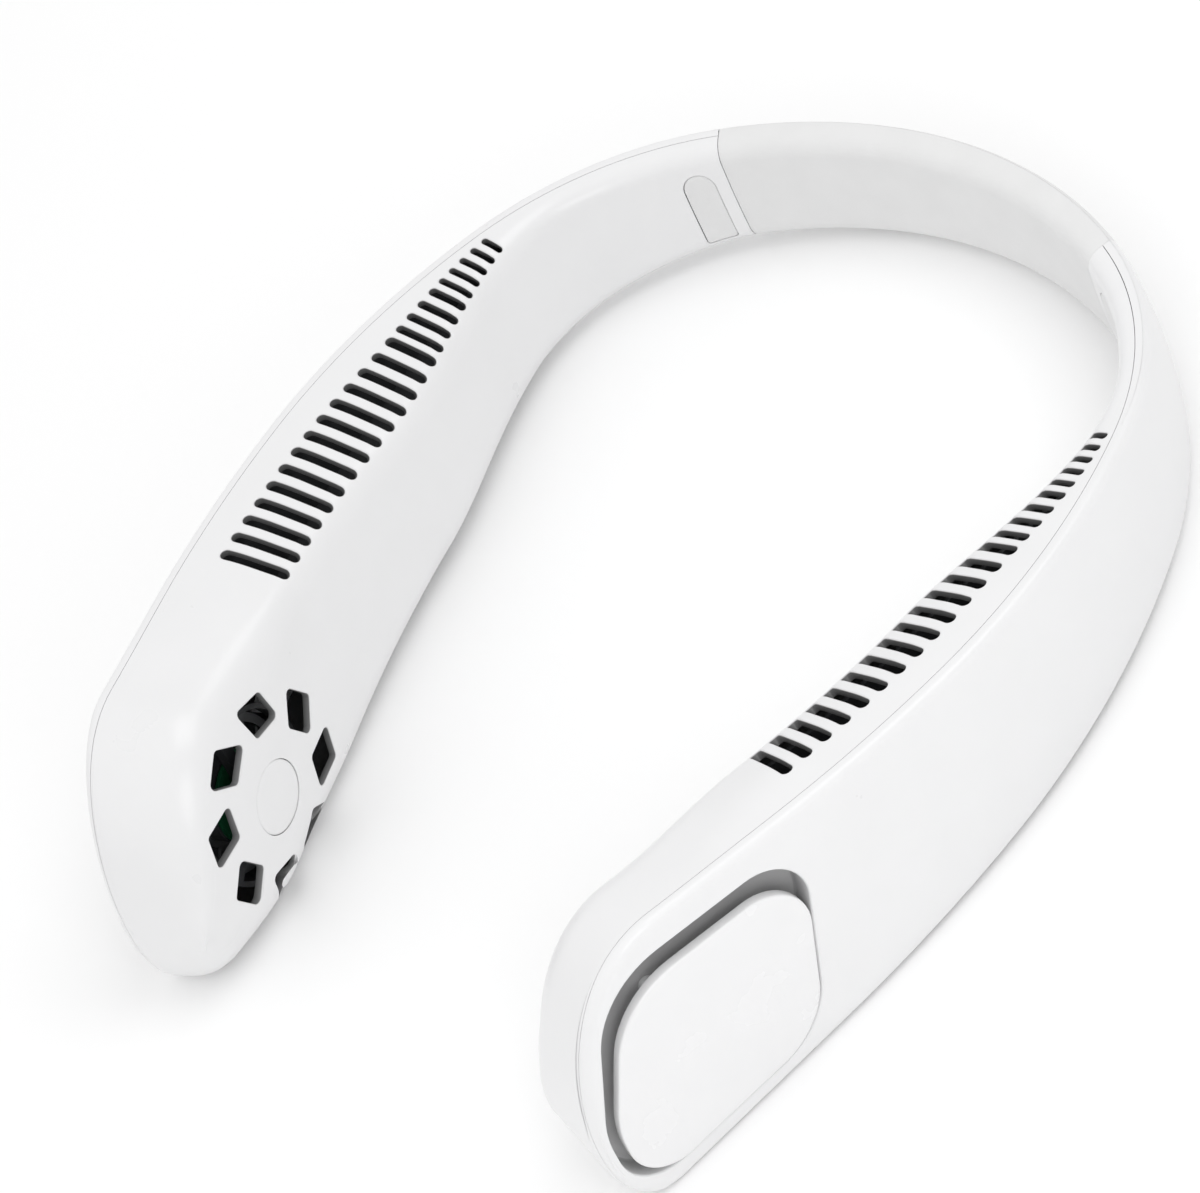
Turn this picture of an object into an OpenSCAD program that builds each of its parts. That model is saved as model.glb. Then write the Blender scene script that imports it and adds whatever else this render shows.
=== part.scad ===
// Electric neck fan: a flexible silicone band between two hollow arms, with a fan in each pod.
// Lengths are in millimetres. Each arm is drawn as the left one and mirrored for the right one.

/* [Outline in plan] */
// Radius of the outer edge round the back of the neck
back_r = 114; // [106:1:122]
// Turn of the back curve from its middle to the end of the band, in degrees
back_turn = 29; // [27:1:31]
// Radius of the outer edge at the shoulder
shoulder_r = 77; // [72:1:82]
// Turn of the shoulder curve, in degrees
shoulder_turn = 45; // [43:1:47]
// Radius of the outer edge along the arm
arm_r = 164; // [155:1:173]
// Turn of the arm's long curve, in degrees
arm_turn = 23; // [22:0.5:24]
// Radius where the arm turns in to the pod
toe_r = 294; // [280:1:308]
// Turn of that last curve, in degrees
toe_turn = 9.5; // [9:0.5:10]
// Straight run from the last curve to the tip of the pod
pod_run = 58; // [56:1:62]

/* [Section of the arms] */
// Height of the band and of each arm where it meets the band
band_h = 29; // [27:1:31]
// Depth from the outer edge to the inner face at the band
band_t = 7; // [6.5:0.1:7.5]
// Depth along the vents
arm_t = 27; // [26:0.5:29]
// Depth of the pod
pod_t = 28; // [27:0.5:30]
// Fall of the top face towards the neck, in degrees
top_slope = 13; // [11:0.5:15]
// Rise of the underside towards the neck, in degrees
under_slope = 5; // [3:0.5:7]
// Bulge of the outer face on the band
band_bulge = 1.5; // [1:0.1:2]
// Bulge of the inner face round the fan
pod_bulge = 1.4; // [1:0.1:2]
// Radius of the inner top corner along the vents
brow_r = 7; // [6:0.5:8]
// Radius of the inner top corner at the pod
dome_r = 14; // [12:0.5:15]
// Radius of the inner bottom corner along the vents
keel_r = 8; // [7:0.5:9]
// Wall of the shells
wall = 1.8; // [1.6:0.1:2]
// Depth of the outer shell's rim, from the outer edge to the parting line
rim = 2.5; // [2.3:0.1:2.8]

/* [Vents] */
// Distance between the long vents
vent_pitch = 5.25; // [5:0.05:5.4]
// Distance between the middle vents
mid_pitch = 4.1; // [3.9:0.05:4.2]
// Distance between the short vents near the band
end_pitch = 3.45; // [3.3:0.05:3.6]
// Width of a long vent
vent_w = 2.7; // [2.4:0.1:2.9]
// Width of a middle vent
mid_vent_w = 2.1; // [1.9:0.1:2.3]
// Width of a short vent
end_vent_w = 1.6; // [1.4:0.1:1.8]

/* [Fan] */
// Distance from the pod's top edge to the recess round the cover plate
head_clear = 7.85; // [7.5:0.05:9]
// Distance from the cover plate's lowest corner to the pod's bottom edge
foot_clear = 3.26; // [3:0.02:5]
// Distance of the fan's axis behind the tip of the pod
fan_back = 33.4; // [33:0.2:35]
// Radius of the impeller
impeller_r = 17.2; // [16.2:0.2:17.2]
// Height of the impeller
impeller_h = 9; // [8:0.5:9]
// Number of blades
blades = 18; // [12:1:20]
// Radius of the motor's shaft
shaft_r = 1; // [0.9:0.05:1.1]
// Radius of the ring of intake holes in the inner face
intake_ring_r = 19; // [18:0.5:19.5]
// Side of an intake hole
intake_side = 8.6; // [8:0.1:9]
// Radius of the small disc at the middle of the intake holes
disc_r = 8; // [7.5:0.1:8.5]
// Thickness of the cover plate
cover_t = 2.5; // [2.2:0.1:2.8]
// Gap in front of the cover plate, where air is drawn in
cover_gap = 2.4; // [2:0.1:2.5]
// Gap behind and below the cover plate
edge_gap = 0.4; // [0.35:0.05:0.8]
// Gap above the cover plate
top_gap = 5.3; // [5:0.1:5.6]

/* [Band] */
// Thickness of the spring strip
spring_t = 0.8; // [0.6:0.1:1]
// Distance from the band's top edge to the spring strip
strip_top = 5.2; // [4.6:0.1:6]
// Distance from the spring strip to the band's bottom edge, with the cable between them
strip_foot = 9.8; // [9:0.1:11]
// Radius of the cable beside the strip
cable_r = 0.9; // [0.7:0.1:1]

/* [Power and controls] */
// Radius of a battery cell
cell_r = 8; // [7.5:0.1:8.2]
// Length of a battery cell
cell_len = 50; // [46:1:52]
// Radius of the power button
button_r = 4; // [3.5:0.1:4.3]
// Travel of the power button
button_travel = 0.8; // [0.5:0.1:1]

/* [Hidden] */
$fn = 48;
left = 1;
right = -1;

// Clearances and overruns
fit = 0.15;
parting = 0.15;
running = 0.04;
slack = 0.6;
over = 2;
reach = 100;
fit_turn = fit / back_r * 180 / PI;
over_turn = over / back_r * 180 / PI;

// The pod's height follows from the cover plate, and the plate's half width from the impeller
plate_half = impeller_r * 1.395;
fan_drop = plate_half * 0.89 + top_gap + head_clear;
pod_h = fan_drop + plate_half * 1.01 + foot_clear;

// Outer edge in plan: curves that follow the band, each a radius and a turn
runs = [[shoulder_r, shoulder_turn], [arm_r, arm_turn], [toe_r, toe_turn]];
function curve_end(p, a, r, turn) = p + r * [sin(a + turn) - sin(a), cos(a + turn) - cos(a)];
seam_p = curve_end([0, 0], 0, back_r, back_turn);
function run_start(i) =
    i == 0 ? [seam_p, back_turn]
    : let (q = run_start(i - 1), r = runs[i - 1]) [curve_end(q[0], q[1], r[0], r[1]), q[1] + r[1]];
function run_from(i) = i == 0 ? 0 : run_from(i - 1) + runs[i - 1][0] * runs[i - 1][1] * PI / 180;
starts = [for (i = [0:len(runs)]) run_start(i)];
froms = [for (i = [0:len(runs)]) run_from(i)];
arm_len = froms[len(runs)] + pod_run;
function ahead(a) = [cos(a), -sin(a)];
function inward(a) = [-sin(a), -cos(a)];

// Point and heading of the outer edge, s along it from the band
function place(s, i = 0) =
    i == len(runs) ? [starts[i][0] + (s - froms[i]) * ahead(starts[i][1]), starts[i][1]]
    : s < froms[i + 1] ?
        let (turn = (s - froms[i]) / runs[i][0] * 180 / PI)
        [curve_end(starts[i][0], starts[i][1], runs[i][0], turn), starts[i][1] + turn]
    : place(s, i + 1);
function point(s, w, z) = let (q = place(s), p = q[0] + w * inward(q[1])) [p.x, p.y, z];

// How the section changes along the arm
function ease(u) = let (c = min(max(u, 0), 1)) c * c * (3 - 2 * c);
function mix(a, b, u) = a + (b - a) * u;
swell_from = shoulder_r * 0.48;
swell_len = shoulder_r + vent_pitch * 0.4;
fan_s = arm_len - fan_back;
pod_blend = pod_run * 0.55;
pod_from = fan_s - pod_blend;
foot_back = pod_h * 0.27;
foot_p = place(arm_len - foot_back)[0];
function height_at(s) =
    band_h + (pod_h - band_h) * max(seam_p.y - place(s)[0].y, 0) / (seam_p.y - foot_p.y);
function depth_at(s) =
    mix(mix(band_t, arm_t, ease((s - swell_from) / swell_len)), pod_t - pod_bulge,
        ease((s - pod_from) / pod_blend));
function brow_at(s) = mix(brow_r, dome_r, ease((s - pod_from) / pod_blend));
function keel_at(s) =
    mix(keel_r, keel_r * 1.4, ease((s - pod_from) / pod_blend)) + keel_r * ease((s - fan_s) / fan_back);
function outer_bulge_at(s) = band_bulge * (1 - ease((s - swell_len - swell_from) / (pod_run * 0.8)));
// How far the top face is crowned: most along the vents, and hardly at the band and the pod
function crowned_at(s) = ease((s - swell_from) / swell_len) * (1 - ease((s - pod_from) / pod_blend));
function crown_point(s, t) =
    let (w = t * mix(0.2, 0.45, crowned_at(s))) [w, -w * tan(mix(flat_slope, crown_slope, crowned_at(s)))];
function inner_bulge_at(s) = mix(band_bulge * 0.4, pod_bulge, ease((s - pod_from) / pod_blend));

// Strip and cable inside the band, and how far they reach into each arm, in degrees
band_c = [0, -back_r];
core_w = band_t * 0.48;
spring_h = band_h - strip_top - strip_foot;
strip_z = -strip_top - spring_h / 2;
cable_z = strip_z - spring_h / 2 - cable_r - slack;
grip_turn = 7;
grip_len = back_r * grip_turn * PI / 180;

// Rounding of the pod's tip: its top, its chin and its inner side
nose_len = pod_h / 2;
nose_drop = pod_h * 0.68;
chin_r = 10;
function quarter(s, len, inset) =
    1 - sqrt(max(0, 1 - pow(max(0, (s - arm_len + len) / (len - inset)), 2)));
function top_at(s, inset) = -nose_drop * quarter(s, nose_len, inset);
function floor_at(s, inset) = -height_at(s) + chin_r * quarter(s, chin_r, inset);
brow_drop = 3;
inner_drop = 16;
function inner_at(s, inset, drop) = depth_at(s) - drop * quarter(s, nose_len, inset);

// Corners of the section as [point, radius, share of its shorter side that its curve may take, steps]
edge_r = 1.5;
foot_r = 2;
flat_r = 150;
major_share = 0.6;
minor_share = 0.38;
crown_slope = 4;
flat_slope = 11;
function corners(s, inset) =
    let (
        t = inner_at(s, inset, brow_drop),
        u = inner_at(s, inset, inner_drop),
        zt = top_at(s, inset),
        zf = floor_at(s, inset),
        b = [t, zt - t * tan(top_slope)],
        c = [u, zf + u * tan(under_slope)]
    )
    [
        [[0, zt], edge_r, minor_share, 2],
        [crown_point(s, t) + [0, zt], flat_r, minor_share, 1],
        [b, brow_at(s), major_share, 4],
        [(b + c) / 2 + [inner_bulge_at(s), 0], flat_r, minor_share, 2],
        [c, keel_at(s), major_share, 4],
        [[0, zf], foot_r, minor_share, 2],
        [[-outer_bulge_at(s) - over / 100, (zt + zf) / 2], flat_r, minor_share * 2, 2]
    ];
function unit(v) = v / norm(v);
function turned(v, a) = [v.x * cos(a) - v.y * sin(a), v.x * sin(a) + v.y * cos(a)];
function half_angle(q, p, r) = acos(min(1, max(-1, unit(q - p) * unit(r - p)))) / 2;
function around(list, i) = list[(i + len(list)) % len(list)];

// Points of a convex outline with rounded corners, drawn in by inset
function rounded(list, inset = 0) =
    let (
        drawn = [for (i = [0:len(list) - 1])
            let (q = around(list, i - 1)[0], p = list[i][0], r = around(list, i + 1)[0])
            p + unit(unit(q - p) + unit(r - p)) * inset / sin(half_angle(q, p, r))]
    )
    [for (i = [0:len(list) - 1])
        let (
            q = around(drawn, i - 1), p = drawn[i], r = around(drawn, i + 1),
            half = half_angle(q, p, r),
            side = min(norm(q - p), norm(r - p)),
            radius = min(max(list[i][1] - inset, over / 10), list[i][2] * side * tan(half)),
            mid = unit(unit(q - p) + unit(r - p)),
            c = p + mid * radius / sin(half),
            hand = sign((p - q).x * (r - p).y - (p - q).y * (r - p).x)
        )
        for (k = [0:list[i][3]])
            c - turned(mid, hand * (180 - 2 * half) * (k / list[i][3] - 1 / 2)) * radius];
function section(s, inset = 0) = rounded(corners(s, inset), inset);

// Depth of the inner face at a place along the arm and a height
function face_w(s, z) = lookup(z, [for (p = section(s)) if (p.x > band_t / 3) [p.y, p.x]]);
face_t = face_w(fan_s, -fan_drop);

// Stations along the arm: even steps, then closer ones round the tip
arm_steps = 17;
nose_steps = 8;
function stations(inset, from) =
    concat(
        [for (i = [0:arm_steps - 1]) from + (arm_len - nose_len - from) * i / arm_steps],
        [for (k = [0:nose_steps]) arm_len - nose_len + (nose_len - inset) * sin(90 * k / nose_steps)]
    );

// A closed solid through rings of points. Each ring is even, and its two halves face each other.
module skin(rings) {
    n = len(rings[0]);
    last = len(rings) - 1;
    polyhedron(
        points = [for (ring = rings) each ring],
        faces = concat(
            [for (k = [0:last - 1], i = [0:n - 1]) let (j = (i + 1) % n)
                each [[k * n + i, (k + 1) * n + i, k * n + j],
                    [k * n + j, (k + 1) * n + i, (k + 1) * n + j]]],
            [for (k = [0:n / 2 - 2]) each [[k, k + 1, n - 2 - k], [k, n - 2 - k, n - 1 - k]]],
            [for (k = [0:n / 2 - 2]) let (e = last * n)
                each [[e + k, e + n - 2 - k, e + k + 1], [e + k, e + n - 1 - k, e + n - 2 - k]]]
        ),
        convexity = 6
    );
}
module arm_body(inset = 0, from = 0)
    skin([for (s = stations(inset, from)) [for (p = section(s, inset)) point(s, p.x, p.y)]]);

// A strip that follows the arm, between two depths and two heights
module strip(from, to, w0, w1, z0, z1, steps = 16)
    skin([for (i = [0:steps]) let (s = mix(from, to, i / steps))
        [for (p = [[w0, z1], [w1, z1], [w1, z0], [w0, z0]]) point(s, p.x, p.y)]]);

// Whole object: stands on the feet of its pods and on the back of its band
tilt = atan2(pod_h - band_h, -foot_p.y);
tip_p = place(arm_len)[0];
half_reach = (-tip_p.y * cos(tilt) + (pod_h - chin_r) * sin(tilt)) / 2;
lift = pod_h * cos(tilt) + foot_p.y * sin(tilt);
module seated() translate([0, half_reach, lift]) rotate([-tilt, 0, 0]) children();
module on_side(side) seated() mirror([side == right ? 1 : 0, 0, 0]) children();

// Frame on the outer edge: X ahead to the tip, Y outwards, Z up
module at_edge(s) translate([place(s)[0].x, place(s)[0].y, 0]) rotate([0, 0, -place(s)[1]]) children();
// Frame on the fan's axis: X ahead to the tip, Y down, Z outwards, with zero on the outer face
module at_fan() at_edge(fan_s) translate([0, 0, -fan_drop]) rotate([-90, 0, 0]) children();
module at_lugs() for (a = lug_angles) rotate(a) translate([lug_ring, 0]) children();
module disc(r, w0, w1) translate([0, 0, -w1]) cylinder(r = r, h = w1 - w0);
module tube(r_out, r_in, w0, w1)
    difference() {
        disc(r_out, w0, w1);
        disc(r_in, w0 - over, w1 + over);
    }

// Outline of the cover plate, ahead and down from the fan's axis, as shares of its half width
plate_shares = [[-1.21, -0.89], [0.68, -0.89], [1.18, 0.25], [1.18, 1.01], [-0.755, 0.735]];
plate_radius_shares = [0.45, 0.85, 1, 0.4, 0.72];
plate_side_shares = [0.5, 0.5, 0.34, 0.6, 0.48];
rear_lean = (plate_shares[4].x - plate_shares[0].x) / (plate_shares[4].y - plate_shares[0].y);
recess_gaps = [[-edge_gap - top_gap * rear_lean, -top_gap], [cover_gap, -top_gap], [cover_gap, 0],
    [cover_gap, edge_gap], [-edge_gap, edge_gap]];
function plate_corners(widened) = [for (i = [0:4])
    [plate_shares[i] * plate_half + recess_gaps[i] * widened,
     plate_radius_shares[i] * plate_half, plate_side_shares[i], 6]];
module plate_outline() polygon(rounded(plate_corners(0)));
module recess_outline(grow = 0) polygon(rounded(plate_corners(1), -grow));

// Layers of the fan, as depths from the outer face
cover_proud = 0.5;
cover_back = cover_t - cover_proud;
tray_floor = 6;
tray_t = 1.5;
tray_back = tray_floor + tray_t;
inlet_r = impeller_r * 0.86;
impeller_gap = 1.5;
impeller_top = tray_back + impeller_gap;
impeller_end = impeller_top + impeller_h;
web_t = 1;
web_top = impeller_top + impeller_h / 2 - web_t / 2;
web_end = web_top + web_t;
hub_r = impeller_r * 0.6;
hub_wall = 0.9;
magnet_t = 1.2;
air_gap = 0.5;
stator_r = hub_r - hub_wall - magnet_t - air_gap;
bearing_r = shaft_r + 1;
boss_r = bearing_r + 1;
board_top = impeller_end + slack;
board_t = 0.8;
spider_top = board_top + board_t + fit;
spider_t = 2;
spider_end = spider_top + spider_t;
housing_in = impeller_r + air_gap * 2;
housing_wall = 1.2;
housing_out = housing_in + housing_wall;
housing_top = tray_back + fit * 2;
boss_end = face_t - wall - fit;

// Outer shell: the outer face, its rim and the recess under the cover plate
post_r = 1.8;
post_shares = [[-0.76, -0.6], [0.34, -0.66], [0.92, 0.6], [-0.56, 0.5]];
lug_r = 3;
lug_t = 3;
lug_ring = housing_out + lug_r * 0.7;
lug_angles = [60, 150, 300];
screw_r = 0.9;
screw_head_r = 1.9;
screw_head_h = 1.2;
rib_count = 10;
rib_t = 1;
rib_from = grip_len + over * 2;
rib_pitch = (pod_from - rib_from) / rib_count;
module recess(grow, depth)
    at_fan() translate([0, 0, -depth]) linear_extrude(depth + over) recess_outline(grow);
module outer_shell(side) color("white") on_side(side) {
    difference() {
        union() {
            difference() {
                intersection() {
                    arm_body();
                    strip(-over, arm_len + over, -over * 4, rim, -reach, over * 4, 24);
                }
                difference() {
                    arm_body(wall, wall * 2);
                    recess(tray_t, tray_back);
                    anchor_seat();
                }
            }
            intersection() {
                arm_body(wall + fit);
                recess(tray_t, tray_back);
            }
            anchor_seat();
        }
        recess(0, tray_floor);
        at_fan() disc(inlet_r, 0, tray_back + over);
        at_fan() at_lugs() disc(screw_r + running, 0, tray_back + over);
        end_openings();
        anchor_screw_place() translate([0, 0, anchor_seat_w - screw_bite - fit])
            cylinder(r = screw_r + running, h = band_t, $fn = 24);
    }
    for (i = [1:rib_count])
        at_edge(rib_from + rib_pitch * (i - 0.5)) hull()
            for (z = [-edge_r * 4, -band_h * 0.66])
                translate([0, -fit, z]) rotate([90, 0, 0]) cylinder(r = rib_t, h = wall, $fn = 8);
}
module anchor_seat() anchor_screw_place() cylinder(r = screw_head_r, h = anchor_seat_w, $fn = 24);

// Inner shell: the top face with its vents and the inner face with its intake holes
long_vents = 14;
mid_vents = 4;
short_vents = 5;
vent_front = fan_s - fan_drop - wall * 1.8;
mid_front = vent_front - (long_vents - 1) * vent_pitch;
short_front = mid_front - mid_vents * mid_pitch;
vents = concat(
    [for (i = [0:long_vents - 1]) [vent_front - i * vent_pitch, vent_w]],
    [for (i = [1:mid_vents]) [mid_front - i * mid_pitch, mid_vent_w]],
    [for (i = [1:short_vents]) [short_front - i * end_pitch, end_vent_w]]
);
vent_lip = 2;
vent_inset = 9.7;
vent_lean = 20;
// The vents turn back towards the band as they near it, by so many degrees for each millimetre
turned_from = arm_r * 0.82;
turn_rate = 0.24;
function vent_from(s) = mix(vent_inset * 0.4, vent_inset, ease((s - shoulder_r * 0.7) / (vent_pitch * 10)));
module vent(s, width)
    at_edge(s) {
        r = width / 2;
        w0 = vent_from(s) + r;
        w1 = depth_at(s) - vent_lip - r;
        translate([0, -w0, 0]) rotate(-max(turned_from - s, 0) * turn_rate) translate([0, w0, 0])
            hull()
                for (w = [w0, w1])
                    translate([0, -w, -w * tan(top_slope)]) rotate([vent_lean, 0, 0])
                        translate([0, 0, -wall * 4]) cylinder(r = r, h = wall * 8, $fn = 8);
    }
// An intake hole is a rhombus, and its sides lie at these turns from the ring's radius
intake_turns = [29, 100];
module intake_hole() {
    a = intake_side * [cos(intake_turns[0]), sin(intake_turns[0])];
    b = intake_side * [cos(intake_turns[1]), sin(intake_turns[1])];
    polygon(rounded([for (p = [-a - b, a - b, a + b, b - a]) [p / 2, over / 2, 0.3, 2]]));
}
module intake_holes()
    for (k = [0:7])
        rotate(22.5 + k * 45) translate([intake_ring_r, 0, -pod_t - over])
            linear_extrude(wall * 2 + over + pod_bulge * 2 + inner_drop / 3) intake_hole();
disc_t = 1.2;
module inner_shell(side) color("white") on_side(side) {
    difference() {
        arm_body();
        arm_body(wall, wall * 2);
        strip(-over, arm_len + over, -over * 4, rim + parting, -reach, over * 4, 24);
        for (v = vents) vent(v[0], v[1]);
        at_fan() {
            intake_holes();
            disc(disc_r + fit, face_t - disc_t, pod_t + over);
        }
        end_openings();
        tab_pocket();
        anchor_screw_place() cylinder(r = screw_head_r + fit, h = band_t * 2, $fn = 24);
        if (side == left) control_openings();
    }
}

// Cover plate on its four posts
module fan_cover(side) color("white") on_side(side) at_fan() {
    translate([0, 0, -cover_back]) linear_extrude(cover_t) plate_outline();
    for (p = post_shares) translate(p * plate_half) disc(post_r, cover_back - fit, tray_floor);
}

// Small plain disc at the middle of the intake holes
module hub_disc(side) color("white") on_side(side) at_fan() disc(disc_r, face_t - disc_t, face_t);

// Ring round the impeller with its outlet, lugs and the spokes that hold the motor
outlet_h = housing_out * 0.9;
spoke_w = 3;
module fan_housing(side) color("dimgray") on_side(side) at_fan()
    difference() {
        union() {
            difference() {
                union() {
                    disc(housing_out, housing_top, spider_end);
                    at_lugs() disc(lug_r, tray_back, housing_top + lug_t);
                }
                disc(housing_in, 0, reach);
                translate([-housing_out - over, -housing_out - over, -impeller_end])
                    cube([housing_out + over, outlet_h, impeller_h]);
            }
            for (a = [30, 150, 270]) rotate(a)
                translate([boss_r - over / 4, -spoke_w / 2, -spider_end])
                    cube([housing_in - boss_r + over / 2, spoke_w, spider_t]);
            disc(boss_r, web_end + over, boss_end);
        }
        disc(bearing_r, 0, spider_end);
        at_lugs() disc(screw_r + fit, tray_floor, spider_end);
    }

// Impeller: a cup for the magnets, a web, curved blades and two end rings
blade_t = 0.8;
blade_r = impeller_r * 0.35;
blade_turn = 46;
blade_lean = 25;
ring_t = 1;
ring_w = 2;
module impeller(side) color("gray") on_side(side) at_fan() {
    difference() {
        union() {
            disc(impeller_r - blade_t, web_top, web_end);
            disc(hub_r, web_top, impeller_end - fit);
        }
        disc(hub_r - hub_wall, web_end, impeller_end + over);
        disc(shaft_r, web_top - over, web_end + over);
    }
    tube(boss_r, shaft_r, web_top - spider_t, web_top);
    for (w = [impeller_top, impeller_end - ring_t])
        tube(impeller_r, impeller_r - ring_w, w, w + ring_t);
    for (k = [0:blades - 1])
        rotate(k * 360 / blades) translate([impeller_r * 0.86, 0, -impeller_end + ring_t / 2])
            rotate(blade_lean) translate([0, -blade_r, 0])
                rotate(90 - blade_turn / 2) rotate_extrude(angle = blade_turn)
                    translate([blade_r - blade_t / 2, 0]) square([blade_t, impeller_h - ring_t]);
}

// Motor: shaft, magnets, core, windings, bearing and its board
module motor_shaft(side) color("silver") on_side(side) at_fan()
    disc(shaft_r, web_top - spider_t, spider_end - fit);
module magnet_ring(side) color("darkslategray") on_side(side) at_fan()
    tube(hub_r - hub_wall, hub_r - hub_wall - magnet_t, web_end, impeller_end - fit * 2);
core_top = web_end + magnet_t;
core_end = impeller_end - magnet_t;
core_wall = 0.8;
tooth_w = 2;
teeth = 6;
tooth_r = stator_r * 0.8;
module core_profile() {
    circle(r = boss_r + core_wall);
    for (k = [1:teeth]) rotate(k * 360 / teeth) translate([0, -tooth_w / 2]) square([tooth_r, tooth_w]);
    for (k = [1:teeth]) rotate(k * 360 / teeth) intersection() {
        difference() {
            circle(r = stator_r);
            circle(r = tooth_r);
        }
        translate([0, -tooth_w]) square([stator_r, tooth_w * 2]);
    }
}
module stator_core(side) color("slategray") on_side(side) at_fan()
    difference() {
        translate([0, 0, -core_end]) linear_extrude(core_end - core_top) core_profile();
        disc(boss_r, 0, reach);
    }
coil_t = 0.5;
coil_w = tooth_w + coil_t * 2;
module windings(side) color("chocolate") on_side(side) at_fan()
    for (k = [1:teeth]) rotate(k * 360 / teeth) difference() {
        translate([boss_r + core_wall + fit, -coil_w / 2, -core_end - coil_t])
            cube([tooth_r - boss_r - core_wall - coil_t, coil_w, core_end - core_top + coil_t * 2]);
        translate([0, -tooth_w / 2, -core_end]) cube([stator_r, tooth_w, core_end - core_top]);
    }
module bearing(side) color("goldenrod") on_side(side) at_fan()
    tube(bearing_r, shaft_r + running, web_end + over, spider_end);
module motor_board(side) color("seagreen") on_side(side) at_fan()
    tube(hub_r, boss_r + fit, board_top, board_top + board_t);
module housing_screws(side) color("silver") on_side(side) at_fan()
    at_lugs() {
        disc(screw_r, tray_floor + fit, housing_top + lug_t);
        disc(screw_head_r, housing_top + lug_t, housing_top + lug_t + screw_head_h);
    }

// Air duct: an open channel under the vents
duct_t = 1;
duct_from = vents[len(vents) - 1][0] - end_pitch;
duct_to = fan_s - housing_out - over;
function duct_out(s) = vent_from(s) - wall;
duct_start_z = -band_h * 0.35;
duct_end_z = -outlet_h * 1.25;
function duct_floor(s) = mix(duct_start_z, duct_end_z, ease((s - duct_from) / (duct_to - duct_from)));
function duct_in(s) = depth_at(s) - wall * 2;
function lid_at(s, w) = let (t = depth_at(s))
    lookup(w, [[0, 0], crown_point(s, t), [t, -t * tan(top_slope)]]) - wall - duct_t * 0.8;
module air_duct(side) color("dimgray") on_side(side)
    skin([for (i = [0:16]) let (
            s = mix(duct_from, duct_to, i / 16), w0 = duct_out(s), w1 = duct_in(s), f = duct_floor(s)
        )
        [for (p = [
            [w0 + duct_t, lid_at(s, w0 + duct_t)], [w0 + duct_t, f], [w1 - duct_t, f],
            [w1 - duct_t, lid_at(s, w1) - wall], [w1, lid_at(s, w1) - wall], [w1, f - duct_t],
            [w0, f - duct_t], [w0, lid_at(s, w0)]
        ]) point(s, p.x, p.y)]]);

// Battery cell and the two pads that hold it to the outer shell
cell_s = (duct_from + duct_to) * 0.555;
cell_w = wall + rim + cell_r;
cell_rise = 5.1;
cell_z = -height_at(cell_s) + cell_rise + cell_r;
fall = atan2(pod_h - band_h, seam_p.y - foot_p.y);
module at_cell() at_edge(cell_s) translate([0, -cell_w, cell_z]) rotate([0, 90 + fall, 0]) children();
module battery(side) color("steelblue") on_side(side) at_cell()
    translate([0, 0, -cell_len / 2]) cylinder(r = cell_r, h = cell_len);
pad_w = 4;
pad_out = cell_w - wall - pow(cell_len / 3 + pad_w / 2, 2) / arm_r / 2 - fit;
module battery_pads(side) color("dimgray") on_side(side) at_cell()
    for (z = [-1, 1]) translate([-pad_w, cell_r * 0.9, z * cell_len / 3 - pad_w / 2])
        difference() {
            cube([pad_w * 2, pad_out - cell_r * 0.9, pad_w]);
            translate([pad_w, -cell_r * 0.9, -over]) cylinder(r = cell_r + running, h = pad_w + over * 2);
        }

// Place and size of the silicone tab beside the band, which covers the anchor's screw
tab_s = 7.5;
tab_w = 8;
tab_top = -7;
tab_t = 1.2;

// Band: a silicone sleeve over a steel strip and a cable, on one centre
module band_sweep(turn) seated()
    translate([band_c.x, band_c.y, 0]) rotate(90 - turn)
        rotate_extrude(angle = turn * 2, $fn = 96) children();
module core_profile_at(grow) {
    translate([back_r - core_w - spring_t / 2 - grow, strip_z - spring_h / 2 - grow])
        square([spring_t + grow * 2, spring_h + grow * 2]);
    translate([back_r - core_w, cable_z]) circle(r = cable_r + grow);
}
module band_sleeve() color("gainsboro") band_sweep(back_turn - fit_turn)
    difference() {
        polygon([for (p = section(0)) [back_r - p.x, p.y]]);
        core_profile_at(fit);
    }
module spring_strip() color("silver")
    difference() {
        band_sweep(back_turn + grip_turn)
            translate([back_r - core_w - spring_t / 2, strip_z - spring_h / 2]) square([spring_t, spring_h]);
        for (side = [left, right])
            on_side(side) anchor_screw_place() cylinder(r = screw_r + fit, h = band_t);
    }
module band_cable() color("darkslategray") band_sweep(back_turn + grip_turn)
    translate([back_r - core_w, cable_z]) circle(r = cable_r);

// Anchor that grips the strip inside the arm, and its screw
anchor_from_turn = (wall * 2 + fit * 2) / back_r * 180 / PI;
anchor_half = 1.35;
anchor_top = strip_z + spring_h / 2 + wall / 2;
anchor_floor = cable_z - cable_r - wall / 3;
anchor_seat_w = core_w - anchor_half - fit * 3;
module anchor_screw_place()
    at_edge(tab_s) translate([0, 0, strip_z]) rotate([90, 0, 0]) children();
module band_anchor(side) color("dimgray") on_side(side)
    difference() {
        translate([band_c.x, band_c.y, 0]) rotate(90 - back_turn - grip_turn)
            rotate_extrude(angle = grip_turn - anchor_from_turn, $fn = 96)
                difference() {
                    translate([back_r - core_w - anchor_half, anchor_floor])
                        square([anchor_half * 2, anchor_top - anchor_floor]);
                    core_profile_at(fit / 2);
                }
        anchor_screw_place() cylinder(r = screw_r + fit, h = band_t, $fn = 24);
    }
anchor_head_w = face_w(tab_s, strip_z) - tab_t - fit * 2 - screw_head_h;
screw_bite = wall;
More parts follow.
